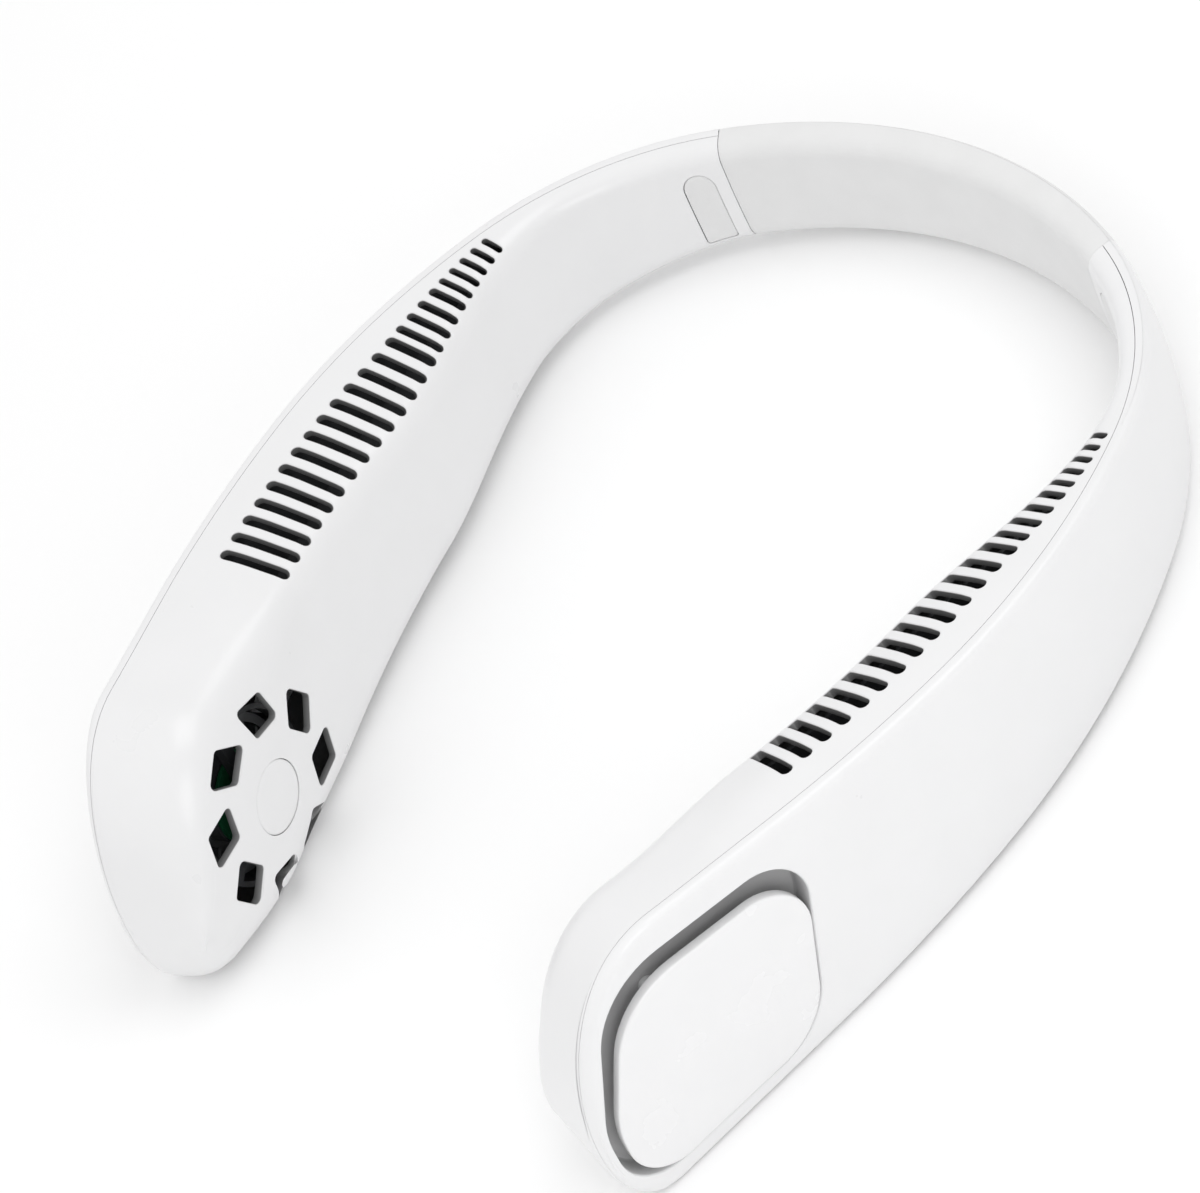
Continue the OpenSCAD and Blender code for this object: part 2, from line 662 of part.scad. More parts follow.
module anchor_screw(side) color("silver") on_side(side) anchor_screw_place() {
    translate([0, 0, anchor_seat_w - screw_bite])
        cylinder(r = screw_r, h = anchor_head_w - anchor_seat_w + screw_bite);
    translate([0, 0, anchor_head_w]) cylinder(r = screw_head_r, h = screw_head_h);
}

// Silicone tab that covers the screw on the inner face beside the band
module tab_prism(grow)
    at_edge(tab_s) translate([0, 0, tab_top - tab_w / 2]) rotate([90, 0, 0]) linear_extrude(reach) {
        circle(r = tab_w / 2 + grow);
        translate([-tab_w / 2 - grow, -reach]) square([tab_w + grow * 2, reach]);
    }
module tab_layer(inset)
    skin([for (i = [0:6]) let (s = mix(tab_s - tab_w, tab_s + tab_w, i / 6))
        [for (p = section(s, inset)) point(s, p.x, p.y)]]);
module tab_pocket()
    difference() {
        tab_prism(fit);
        tab_layer(tab_t + fit);
    }
tab_cols = 12;
tab_rows = 9;
module screw_cover(side) color("gainsboro") on_side(side)
    skin([for (i = [0:tab_cols]) let (
            u = -cos(180 * i / tab_cols), s = tab_s + u * tab_w / 2,
            z0 = tab_top - tab_w / 2 * (1 - sqrt(1 - u * u)), z1 = keel_r * 0.4 - height_at(s),
            zs = [for (k = [0:tab_rows]) mix(z0, z1, k / tab_rows)]
        )
        concat(
            [for (k = [0:tab_rows]) point(s, face_w(s, zs[k]), zs[k])],
            [for (k = [tab_rows:-1:0]) point(s, face_w(s, zs[k]) - tab_t, zs[k])]
        )]);

// Openings through the end wall for the strip and the cable
module end_openings() translate([band_c.x, band_c.y, 0]) rotate(90 - back_turn - grip_turn)
    rotate_extrude(angle = grip_turn + over_turn, $fn = 96) core_profile_at(slack / 2 + fit);

// Lead from the band's cable to the fan, swept along the arm
lead_from = grip_len + fit * 3;
lead_to = fan_s - housing_out - fit * 2;
lead_shift = fan_s - plate_half * 1.9;
function lead_w(s) =
    mix(wall + cable_r + fit * 3, tray_back + cable_r + fit * 2, ease((s - lead_shift) / (plate_half / 2)));
function lead_z(s) =
    mix(mix(cable_z, duct_floor(s) - duct_t - cable_r - fit * 2,
            ease((s - lead_from) / (duct_from - lead_from))),
        -fan_drop, ease((s - lead_shift) / (lead_to - lead_shift)));
lead_sides = 8;
lead_steps = 30;
module fan_lead(side) color("darkslategray") on_side(side)
    skin([for (i = [0:lead_steps]) let (
            s = mix(lead_from, lead_to, i / lead_steps), w = lead_w(s), z = lead_z(s)
        )
        [for (k = [0:lead_sides - 1]) let (a = -k * 360 / lead_sides)
            point(s, w + cable_r * cos(a), z + cable_r * sin(a))]]);

// Controls on the underside of the left arm: X ahead, Y outwards, Z up from the outer surface
board_w = 9;
board_len = 24;
ctrl_gap = 6;
ctrl_s = cell_s - cell_len / 2 - board_len / 2 - ctrl_gap;
ctrl_w = wall + rim + board_w / 2;
board_z = wall + over * 2;
usb_along = -board_len * 0.3;
light_along = 0;
button_along = board_len * 0.3;
module at_controls(along = 0)
    at_edge(ctrl_s + along) translate([0, -ctrl_w, ctrl_w * tan(under_slope) - height_at(ctrl_s + along)])
        rotate([-under_slope, fall, 0]) children();
usb_w = 9;
usb_h = 3.2;
usb_wall = 0.3;
light_r = 1;
flange_w = 0.8;
module usb_outline(grow = 0) {
    square([usb_w - usb_h, usb_h + grow * 2], center = true);
    for (x = [-1, 1]) translate([x * (usb_w - usb_h) / 2, 0]) circle(r = usb_h / 2 + grow);
}
module control_openings() {
    at_controls(usb_along) translate([0, 0, -over]) linear_extrude(over * 4) usb_outline(fit);
    at_controls(light_along) translate([0, 0, -over]) cylinder(r = light_r + fit, h = over * 4, $fn = 16);
    at_controls(button_along) translate([0, 0, -over]) cylinder(r = button_r + fit, h = over * 4);
}
module control_board() color("seagreen") on_side(left) at_controls()
    translate([-board_len / 2, -board_w / 2, board_z]) cube([board_len, board_w, board_t * 2]);
module usb_socket() color("silver") on_side(left) at_controls(usb_along)
    difference() {
        linear_extrude(board_z - fit) usb_outline();
        difference() {
            translate([0, 0, -over]) linear_extrude(board_z + over - usb_h / 3) usb_outline(-usb_wall);
            translate([-usb_w / 3, -usb_h / 10, usb_h / 6]) cube([usb_w / 1.5, usb_h / 5, board_z]);
        }
    }
flange_from = wall + fit;
module power_button() color("white") on_side(left) at_controls(button_along) {
    translate([0, 0, -fit * 2]) cylinder(r = button_r, h = flange_from + fit * 2);
    translate([0, 0, flange_from]) cylinder(r = button_r + flange_w, h = flange_w);
}
switch_from = flange_from + flange_w + button_travel + fit;
module button_switch() color("black") on_side(left) at_controls(button_along)
    translate([-button_r / 2, -button_r / 2, switch_from])
        cube([button_r, button_r, board_z - switch_from - fit]);
module status_light() color("white") on_side(left) at_controls(light_along)
    cylinder(r = light_r, h = board_z - fit);

outer_shell(left);  // left_outer_shell
outer_shell(right);  // right_outer_shell
inner_shell(left);  // left_inner_shell
inner_shell(right);  // right_inner_shell
fan_cover(left);  // left_fan_cover
fan_cover(right);  // right_fan_cover
hub_disc(left);  // left_hub_disc
hub_disc(right);  // right_hub_disc
fan_housing(left);  // left_fan_housing
fan_housing(right);  // right_fan_housing
impeller(left);  // left_impeller
impeller(right);  // right_impeller
motor_shaft(left);  // left_motor_shaft
motor_shaft(right);  // right_motor_shaft
magnet_ring(left);  // left_magnet_ring
magnet_ring(right);  // right_magnet_ring
stator_core(left);  // left_stator_core
stator_core(right);  // right_stator_core
windings(left);  // left_windings
windings(right);  // right_windings
bearing(left);  // left_bearing
bearing(right);  // right_bearing
motor_board(left);  // left_motor_board
motor_board(right);  // right_motor_board
housing_screws(left);  // left_housing_screws
housing_screws(right);  // right_housing_screws
air_duct(left);  // left_air_duct
air_duct(right);  // right_air_duct
battery(left);  // left_battery
battery(right);  // right_battery
battery_pads(left);  // left_battery_pads
battery_pads(right);  // right_battery_pads
band_anchor(left);  // left_band_anchor
band_anchor(right);  // right_band_anchor
anchor_screw(left);  // left_anchor_screw
anchor_screw(right);  // right_anchor_screw
screw_cover(left);  // left_screw_cover
screw_cover(right);  // right_screw_cover
fan_lead(left);  // left_fan_lead
fan_lead(right);  // right_fan_lead
band_sleeve();
spring_strip();
band_cable();
control_board();
usb_socket();
power_button();
button_switch();
status_light();
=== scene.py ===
# %% [markdown]
# The neck fan in the photograph has two hollow arms of white plastic, a soft grey band behind
# the neck, and a fan in each pod. Here the imported CAD model is the fixed frame, and each part of
# the casing that shows is modelled again, smooth, in the place of its CAD node. The inner parts
# keep their CAD shape and get a finish. The frame is loaded first. The finished model has to stay
# in it.

# %% Load the frame
import math
import bpy
import bmesh
from mathutils import Matrix, Vector
from mathutils.bvhtree import BVHTree
from mathutils.interpolate import poly_3d_calc


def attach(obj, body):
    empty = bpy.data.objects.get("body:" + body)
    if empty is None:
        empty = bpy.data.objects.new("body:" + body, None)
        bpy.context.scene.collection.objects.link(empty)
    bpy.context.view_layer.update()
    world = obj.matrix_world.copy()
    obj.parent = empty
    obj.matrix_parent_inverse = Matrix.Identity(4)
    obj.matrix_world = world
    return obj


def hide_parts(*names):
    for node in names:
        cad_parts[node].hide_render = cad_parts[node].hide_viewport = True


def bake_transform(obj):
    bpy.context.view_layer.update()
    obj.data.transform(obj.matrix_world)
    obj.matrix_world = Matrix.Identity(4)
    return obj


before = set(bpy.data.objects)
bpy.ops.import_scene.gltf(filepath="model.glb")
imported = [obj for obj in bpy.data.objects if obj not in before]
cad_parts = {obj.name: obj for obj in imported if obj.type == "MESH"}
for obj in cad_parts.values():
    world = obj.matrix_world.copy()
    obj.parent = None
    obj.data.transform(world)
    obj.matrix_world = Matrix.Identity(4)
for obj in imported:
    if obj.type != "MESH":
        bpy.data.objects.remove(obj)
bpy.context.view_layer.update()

# %% [markdown]
# The picture was taken from far away with a long lens, rolled to one side. The camera is solved
# from the photograph: where it stands, and which way its right, down and forward axes point.

# %% Camera
mm = 0.001


def add(name, data):
    """A new object at the origin, linked to the scene."""
    made = bpy.data.objects.new(name, data)
    bpy.context.scene.collection.objects.link(made)
    return made


photo_width = 1200
focal_pixels = 5500
sensor_width = 36
camera_data = bpy.data.cameras.new("camera")
camera_data.sensor_width = sensor_width
camera_data.lens = focal_pixels / photo_width * sensor_width
camera_data.clip_start = 0.01
camera = add("camera", camera_data)
camera_right = Vector((0.7149, 0.5476, -0.4348))
camera_forward = Vector((-0.6483, 0.2860, -0.7056))
camera_up = camera_right.cross(camera_forward).normalized()
camera_right = camera_forward.cross(camera_up).normalized()
camera_place = Vector((729.0, -334.1, 829.2)) * mm
camera.matrix_world = Matrix.Translation(camera_place) @ Matrix(
    (camera_right, camera_up, -camera_forward.normalized())).transposed().to_4x4()
bpy.context.scene.camera = camera
print("camera lens", round(camera_data.lens), "mm")

# %% [markdown]
# The arm is drawn in the wearer's frame: its outer edge runs round the back of the neck and
# forwards in plan, through four arcs and a straight end. A point of the arm is given by how far
# along that edge it is, how deep it lies behind the edge, and its height. The whole fan is then
# tipped to stand on its pods and its band, as in the CAD. Sizes are in millimetres until then.

# %% Outer edge in plan
back_r, back_turn = 114, 29
shoulder_r, arm_r = 77, 164
pod_r, pod_run = 294, 58
runs = [(shoulder_r, 45), (arm_r, 23), (pod_r, 9.5)]
band_h, band_t, arm_t, pod_t = 29, 7, 27, 28
impeller_r = 17.2
plate_half = impeller_r * 1.395
plate_up, plate_down = 0.89, 1.01
cover_gap, edge_gap, top_gap = 2.4, 0.4, 5.3
over_recess, under_plate = 7.85, 3.26
fan_drop = plate_half * plate_up + top_gap + over_recess
pod_h = fan_drop + plate_half * plate_down + under_plate
top_slope, under_slope = math.radians(13), math.radians(5)
band_bulge, pod_bulge = 1.5, 1.4
wall, rim, parting = 1.8, 2.5, 0.15


def curve_end(x, y, heading, radius, turn):
    a, b = math.radians(heading), math.radians(heading + turn)
    return x + radius * (math.sin(b) - math.sin(a)), y + radius * (math.cos(b) - math.cos(a))


starts = [(*curve_end(0, 0, 0, back_r, back_turn), back_turn, 0.0)]
for radius, turn in runs:
    x, y, heading, along = starts[-1]
    starts.append((*curve_end(x, y, heading, radius, turn), heading + turn,
                   along + radius * math.radians(turn)))
arm_len = starts[-1][3] + pod_run


def place(s):
    """Point and heading of the outer edge, s along it from the band."""
    for (x, y, heading, along), (radius, turn), after in zip(starts, runs, starts[1:]):
        if s < after[3]:
            part = math.degrees((s - along) / radius)
            return (*curve_end(x, y, heading, radius, part), math.radians(heading + part))
    x, y, heading, along = starts[-1]
    a = math.radians(heading)
    return x + (s - along) * math.cos(a), y - (s - along) * math.sin(a), a


seam_y = starts[0][1]
foot_back = pod_h * 0.27
foot_y = place(arm_len - foot_back)[1]
tip_y = place(arm_len)[1]
chin_r = 10
tilt = math.atan2(pod_h - band_h, -foot_y)
half_reach = (-tip_y * math.cos(tilt) + (pod_h - chin_r) * math.sin(tilt)) / 2
lift = pod_h * math.cos(tilt) + foot_y * math.sin(tilt)


def seat(x, y, z, side=1):
    """A point of the wearer's frame in the shared frame, in metres. Side 1 is the left arm."""
    return Vector((side * x, y * math.cos(tilt) + z * math.sin(tilt) + half_reach,
                   z * math.cos(tilt) - y * math.sin(tilt) + lift)) * mm


def point(s, w, z, side=1):
    x, y, a = place(s)
    return seat(x - w * math.sin(a), y - w * math.cos(a), z, side)


print("arm", round(arm_len, 1), "mm long, tipped by", round(math.degrees(tilt), 1), "degrees")

# %% [markdown]
# Across the arm, the section changes all the way: thin and even at the band, deep and hollowed
# along the vents, and round and tall at the pod. Each size of the section is blended from one
# station to the next with a smooth step, so that light runs along the arm without a break.

# %% How the section changes
vent_pitch, mid_pitch, end_pitch = 5.25, 4.1, 3.45
fan_back = 33.4
fan_s = arm_len - fan_back
swell_from, swell_len = shoulder_r * 0.48, shoulder_r + vent_pitch * 0.4
pod_blend = pod_run * 0.55
pod_from = fan_s - pod_blend
nose_len = pod_h / 2
chin_len, tip_z, brow_drop, inner_drop = 8.5, -46, 3, 16
edge_r, foot_r, nose_r, keel_r = 1.5, 2.0, 4.0, 8
face_bulge = 0.72 * band_bulge
sunk = 0.2


def ease(u):
    u = min(max(u, 0), 1)
    return u * u * (3 - 2 * u)


def mix(a, b, u):
    return a + (b - a) * u


def height_at(s):
    return band_h + (pod_h - band_h) * max(seam_y - place(s)[1], 0) / (seam_y - foot_y)


def swollen_at(s):
    return ease((s - swell_from) / swell_len)


def at_pod(s):
    return ease((s - pod_from) / pod_blend)


def depth_at(s):
    return mix(mix(band_t, arm_t, swollen_at(s)), pod_t - pod_bulge, at_pod(s))


def crowned_at(s):
    return swollen_at(s) * (1 - at_pod(s))


def keel_at(s):
    return mix(keel_r, keel_r * 1.4, at_pod(s)) + keel_r * ease((s - fan_s) / fan_back)


def outer_bulge_at(s):
    return face_bulge * (1 - ease((s - swell_len - swell_from) / (pod_run * 0.8)))


def quarter(s, length, inset=0.0):
    return 1 - math.sqrt(max(0, 1 - (max(0, (s - arm_len + length) / (length - inset))) ** 2))


def top_at(s):
    return tip_z * quarter(s, nose_len) - sunk


def floor_at(s):
    return -height_at(s) + (height_at(s) + tip_z) * quarter(s, chin_len)


print("at the fan the arm is", round(depth_at(fan_s), 1), "mm deep and",
      round(height_at(fan_s), 1), "mm high")

# %% [markdown]
# A section is an outline of a few corners, each rounded by an arc in the section's own plane. A
# corner may use up only a share of the sides beside it, so that two arcs never cross. The same
# function rounds the plate and the holes later on, and draws an outline in or out.

# %% Rounded corners
def rounded(corners, inset=0.0):
    """Arcs for the corners of a convex outline, drawn in by inset, as a list of lists of points."""
    count = len(corners)
    drawn = []
    for i, (p, *_) in enumerate(corners):
        to_q = (corners[i - 1][0] - p).normalized()
        to_r = (corners[(i + 1) % count][0] - p).normalized()
        half = math.acos(min(1, max(-1, to_q.dot(to_r)))) / 2
        drawn.append(p + (to_q + to_r).normalized() * inset / math.sin(half))
    arcs = []
    for i, (_, radius, share, steps) in enumerate(corners):
        q, p, r = drawn[i - 1], drawn[i], drawn[(i + 1) % count]
        to_q, to_r = (q - p).normalized(), (r - p).normalized()
        half = math.acos(min(1, max(-1, to_q.dot(to_r)))) / 2
        side = min((q - p).length, (r - p).length)
        radius = min(max(radius - inset, 0.2), share * side * math.tan(half))
        mid = (to_q + to_r).normalized()
        centre = p + mid * radius / math.sin(half)
        cross = (p - q).x * (r - p).y - (p - q).y * (r - p).x
        sweep = math.copysign(math.pi - 2 * half, cross)
        arcs.append([centre - Matrix.Rotation(sweep * (k / steps - 0.5), 2) @ mid * radius
                     for k in range(steps + 1)])
    return arcs


def circle(radius, steps, x=0.0, y=0.0):
    """Points round a circle, started beside its seam so that its halves face each other."""
    turns = [math.radians(360 / steps * (k + 0.5)) for k in range(steps)]
    return [(x + radius * math.cos(a), y + radius * math.sin(a)) for a in turns]


# %% [markdown]
# The outer edge of the casing is a fillet of even width that follows the outline round the nose.
# An arc in the section's plane would grow wide there, where the section cuts the edge at a slant.
# So it is worked out in space, as a ball that rolls along the outer face and the top face.

# %% Fillet of the outer edge
tiny_step = 1e-3


def fillet(s, z, z_back, slope, up, radius, steps):
    """Arc of the outer edge from the outer face to the top (up 1) or the underside (up -1)."""
    outer = Vector((0, up * 4 * outer_bulge_at(s) / height_at(s), -1)).normalized()
    across = Vector((tiny_step, z - z_back, 0)).normalized()
    belt = Vector((-across.y * up, across.x * up, math.tan(slope) * across.x)).normalized()
    if belt.y * up < 0:
        belt = Vector((-belt.x, -belt.y, belt.z))
    centre = Vector((s, z, 0)) - (outer + belt) * radius / (1 + outer.dot(belt))
    return [centre + outer.slerp(belt, k / steps) * radius for k in range(steps + 1)]


# %% [markdown]
# One ring is the whole section: the outer face, the fillet, the top face, the brow, the inner
# face, the keel and the underside. Towards the tip it grows low, so its slopes are eased there.
# Every ring has the same rows of points, so that each point has a neighbour in the next.

# %% A ring of the arm
face_rows, edge_rows, belt_rows, crown_rows, corner_rows, inner_rows = 8, 6, 4, 6, 10, 5
soft_r = 150
small_share, round_share = 0.38, 0.6


def crown_lean_at(s):
    return math.radians(mix(11, 4, crowned_at(s)))


def section(s, top, floor, squeeze, inset, keel_share, steps):
    """Corners of a section. Each has its place, radius, share of the sides and steps."""
    depth = depth_at(s) - brow_drop * quarter(s, nose_len, inset)
    keel_depth = depth_at(s) - inner_drop * quarter(s, nose_len, inset)
    crown_w = depth * mix(0.2, 0.45, crowned_at(s))
    crown_z = top - crown_w * math.tan(crown_lean_at(s) * squeeze)
    brow = Vector((depth, top - depth * math.tan(top_slope * squeeze)))
    keel = Vector((keel_depth, floor + keel_depth * math.tan(under_slope * squeeze)))
    bulge = mix(band_bulge * 0.4, pod_bulge, at_pod(s))
    crown_steps, brow_steps, middle_steps, keel_steps = steps
    return [
        (Vector((0, top)), edge_r, small_share, 2),
        (Vector((crown_w, crown_z)), soft_r, small_share, crown_steps),
        (brow, mix(7, 14, at_pod(s)), round_share, brow_steps),
        ((brow + keel) / 2 + Vector((bulge, 0)), soft_r, small_share, middle_steps),
        (keel, keel_at(s), keel_share, keel_steps),
        (Vector((0, floor)), foot_r, small_share, 2),
    ]


def ring(s):
    """The arcs of the fillets above and below, and of the section's corners."""
    top, floor = top_at(s), floor_at(s)
    squeeze = min(1, (top - floor) / (pod_h * 0.5))
    past = (s - arm_len + nose_len) / nose_len
    keel_share = round_share + 0.2 * math.sin(math.pi * min(max(past, 0), 1))
    arcs = rounded(section(s, top, floor, squeeze, 0, keel_share,
                           (crown_rows, corner_rows, inner_rows * 2, corner_rows)))
    top_arc = fillet(s, top, top_at(s - tiny_step), crown_lean_at(s) * squeeze, 1,
                     mix(edge_r, nose_r, ease((s - fan_s - 5) / 25)), edge_rows)
    foot_arc = fillet(s, floor, floor_at(s - tiny_step), under_slope * squeeze, -1,
                      mix(foot_r, nose_r, ease((s - arm_len + chin_len * 1.5) / chin_len)),
                      edge_rows)
    return top_arc, foot_arc, arcs


def ring_points(s):
    """One ring of the smooth arm, as points (along, height, depth). Its halves face each other."""
    top_arc, foot_arc, arcs = ring(s)
    outer_bulge = outer_bulge_at(s)
    a, b = top_arc[0], foot_arc[0]
    face = []
    for k in range(face_rows * 2):
        v = 1 - (k + 0.5) / face_rows
        p = b.lerp(a, (v + 1) / 2)
        face.append(Vector((p.x, p.y, -outer_bulge + (p.z + outer_bulge) * v * v)))
    flat = [[Vector((s, q.y, q.x)) for q in arc] for arc in arcs]

    def across(p, q, count):
        return [p.lerp(q, (k + 1) / (count + 1)) for k in range(count)]

    top_half = (face[:face_rows][::-1] + top_arc + across(top_arc[-1], flat[1][0], belt_rows)
                + flat[1] + across(flat[1][-1], flat[2][0], belt_rows)
                + flat[2] + across(flat[2][-1], flat[3][0], inner_rows)
                + flat[3][:inner_rows])
    low_half = (flat[3][inner_rows + 1:] + across(flat[3][-1], flat[4][0], inner_rows)
                + flat[4] + across(flat[4][-1], foot_arc[-1], belt_rows * 2 + crown_rows + 1)
                + foot_arc[::-1] + face[face_rows:][::-1])
    return top_half + low_half


print("a ring has", len(ring_points(100.0)), "points")

# %% [markdown]
# A skin is drawn as a boat builder would: one ring is extruded to the next station, again and
# again, and both ends are closed with a strip of faces. Bmesh's extrude keeps each point of a
# ring with its own neighbour, so nothing twists.

# %% Loft
def object_from(bm, name):
    mesh = bpy.data.meshes.new(name)
    bm.to_mesh(mesh)
    bm.free()
    return add(name, mesh)


def loft(rings, name):
    """A closed mesh through rings of points in metres. The two halves of a ring face each other."""
    bm = bmesh.new()
    verts = [bm.verts.new(p) for p in rings[0]]
    count = len(verts)
    edges = [bm.edges.new((verts[k], verts[(k + 1) % count])) for k in range(count)]
    first = verts
    for points in rings[1:]:
        made = bmesh.ops.extrude_edge_only(bm, edges=edges)["geom"]
        fresh = {g for g in made if isinstance(g, bmesh.types.BMVert)}
        verts = [next(e.other_vert(v) for e in v.link_edges if e.other_vert(v) in fresh)
                 for v in verts]
        for v, p in zip(verts, points):
            v.co = p
        edges = [bm.edges.get((verts[k], verts[(k + 1) % count])) for k in range(count)]
    for end in (first, verts):
        for k in range(count // 2 - 1):
            bm.faces.new((end[k], end[k + 1], end[-2 - k], end[-1 - k]))
    bmesh.ops.recalc_face_normals(bm, faces=bm.faces)
    return object_from(bm, name)


nose_stations = [arm_len - nose_len + nose_len * math.sin(math.radians(88.5 * k / 26))
                 for k in range(27)]
body_stations = [(arm_len - nose_len) * i / 135 for i in range(135)]


def smooth_arm(side):
    return loft([[point(p.x, p.z, p.y, side) for p in ring_points(s)]
                 for s in body_stations + nose_stations], "arm_skin")


print("the skin is drawn through", len(body_stations + nose_stations), "rings")

# %% [markdown]
# The hollow inside follows the same section, drawn in by the wall. It doesn't show, so it can be
# coarser than the skin.

# %% Hollow of the arm
hollow_tip = 0.72


def hollow_ring(s, inset):
    top = -pod_h * hollow_tip * quarter(s, nose_len, inset) - sunk
    floor = -height_at(s) + chin_r * quarter(s, chin_r, inset)
    corners = section(s, top, floor, 1, inset, round_share, (2, 7, 2, 6))
    outer_face = Vector((-outer_bulge_at(s) - 0.02, (top + floor) / 2))
    corners.append((outer_face, soft_r, small_share * 2, 2))
    return [q for arc in rounded(corners, inset) for q in arc]


def arm_hollow(side, inset, start):
    stations = [mix(start, arm_len - nose_len, i / 50) for i in range(50)]
    stations += [arm_len - nose_len + (nose_len - inset) * math.sin(math.radians(9 * k))
                 for k in range(11)]
    return loft([[point(s, q.x, q.y, side) for q in hollow_ring(s, inset)] for s in stations],
                "arm_hollow")


# %% [markdown]
# Holes, recesses and the parting line are cut with Boolean modifiers, as a mould maker would
# spark out a tool. Each cutter flares at its mouth, so that it leaves a rounded lip and not a
# knife edge. The modifier is applied at once, because the next cut needs the result.

# %% Booleans
def boolean(piece, other, operation="DIFFERENCE"):
    """Changes the mesh of piece by other, which is used up."""
    cut = piece.modifiers.new(operation.lower(), "BOOLEAN")
    cut.operation, cut.object, cut.solver = operation, other, "MANIFOLD"
    shown = piece.evaluated_get(bpy.context.evaluated_depsgraph_get())
    mesh = bpy.data.meshes.new_from_object(shown)
    piece.modifiers.clear()
    old, piece.data = piece.data, mesh
    bpy.data.meshes.remove(old)
    bpy.data.objects.remove(other)
    return piece


def join(pieces, name):
    """One object from several that don't touch, to be cut or added in a single step."""
    bm = bmesh.new()
    for p in pieces:
        bm.from_mesh(p.data)
        bpy.data.objects.remove(p)
    return object_from(bm, name)


def slab(side, w0, w1):
    """All that lies between two depths behind the outer edge, from before the band to the tip."""
    low, high = -100, 12
    corners = ((w0, high), (w1, high), (w1, low), (w0, low))
    stations = [mix(-2.0, arm_len + 2, i / 90) for i in range(91)]
    return loft([[point(s, w, z, side) for w, z in corners] for s in stations], "slab")


# %% [markdown]
# Each vent is a slot with round ends that runs over the inner top corner. There are fourteen long
# ones, then four and five that grow shorter, narrower and closer towards the band. A list keeps
# where each one is along the arm, and its width.

# %% Places of the vents
vent_front = fan_s - fan_drop - wall * 1.8
vent_w, mid_w, end_w = 2.7, 2.1, 1.6
vent_list = [(vent_front - i * vent_pitch, vent_w) for i in range(14)]
vent_list += [(vent_list[-1][0] - (i + 1) * mid_pitch, mid_w) for i in range(4)]
vent_list += [(vent_list[-1][0] - (i + 1) * end_pitch, end_w) for i in range(5)]
vent_end_room, vent_inset = 2, 9.7
turned_from, turn_rate = arm_r * 0.82, 0.24


def vent_from(s):
    return mix(vent_inset * 0.4, vent_inset, ease((s - shoulder_r * 0.7) / (vent_pitch * 10)))


print(len(vent_list), "vents a side, the last one", round(vent_list[-1][0], 1), "mm from the band")

# %% [markdown]
# A vent bends over the brow, so its cutter has to follow the surface. Here a section's outline
# is laid out like a tape measure: a length along it gives a point of the surface there and the
# way out of it, and a depth or a height gives the length.

# %% Lengths along a section
def belt_line(s):
    """The top face, inner face and underside of a section, and the lengths along them."""
    _, _, arcs = ring(s)
    line = [Vector((0, top_at(s)))] + [p for arc in arcs[1:5] for p in arc]
    lengths = [0.0]
    for p, q in zip(line, line[1:]):
        lengths.append(lengths[-1] + (q - p).length)
    return line, lengths


def on_belt(s, length):
    """The point of the section that far along its top face, and the way out of the surface."""
    line, lengths = belt_line(s)
    k = max(i for i in range(len(line) - 1) if lengths[i] <= max(length, 0))
    share = (length - lengths[k]) / (lengths[k + 1] - lengths[k])
    before = (line[k] - line[k - 1]).normalized() if k else (line[1] - line[0]).normalized()
    here = (line[k + 1] - line[k]).normalized()
    after = (line[k + 2] - line[k + 1]).normalized() if k + 2 < len(line) else here
    run = ((before + here).lerp(here + after, share)).normalized()
    return line[k].lerp(line[k + 1], share), Vector((-run.y, run.x))


def length_at(s, aim, axis=0, way=1):
    """The length at which the outline's depth (axis 0) or height (axis 1, way -1) gets to aim."""
    line, lengths = belt_line(s)
    for k, (p, q) in enumerate(zip(line, line[1:])):
        if (q[axis] - aim) * way >= 0:
            return mix(lengths[k], lengths[k + 1], (aim - p[axis]) / (q[axis] - p[axis]))
    return lengths[-1]


# %% [markdown]
# A vent's cutter is a stack of slot outlines laid on the surface: the lowest is the slot itself,
# and towards the surface they grow by a quarter circle, which leaves the soft lip that a moulded
# slot has.

# %% Vent cutter
def lip_layers(lip, depth, steps=4):
    """Heights over the surface, and how far the cutter's outline grows there."""
    layers = [(lip + 0.4, lip)]
    for k in range(steps + 1):
        a = math.pi / 2 * k / steps
        layers.append((-lip * math.sin(a), lip * (1 - math.sqrt(1 - (1 - math.sin(a)) ** 2))))
    return layers + [(-depth, 0.0)]


slot_step = 1.5


def vent_cutter(s, width, side):
    half = width / 2
    start = length_at(s, vent_from(s))
    end = length_at(s, depth_at(s) - vent_end_room)
    turn = math.radians(max(turned_from - s, 0) * turn_rate)
    rings = []
    for over, grow in lip_layers(0.35, wall * 2.2):
        r = half + grow
        arc = [(r * math.sin(a), r * math.cos(a))
               for a in (math.radians(10 + 16 * k) for k in range(6))]
        steps = max(2, round((end - start - width) / slot_step))
        side_line = [(x, start + half - y) for x, y in arc]
        side_line += [(r, mix(start + half, end - half, k / steps)) for k in range(1, steps)]
        side_line += [(x, end - half + y) for x, y in reversed(arc)]
        points = []
        for x, length in side_line + [(-x, length) for x, length in reversed(side_line)]:
            along = length - start - half
            here = s + x * math.cos(turn) - along * math.sin(turn)
            p, out = on_belt(here, start + half + along * math.cos(turn) + x * math.sin(turn))
            points.append(point(here, p.x + out.x * over, p.y + out.y * over, side))
        rings.append(points)
    return loft(rings, "vent_cutter")


# %% [markdown]
# The fan's own frame sits on the outer face of the pod: ahead to the tip, down, and inwards. The
# cover plate, its recess, the intake holes and the small disc are all drawn there.

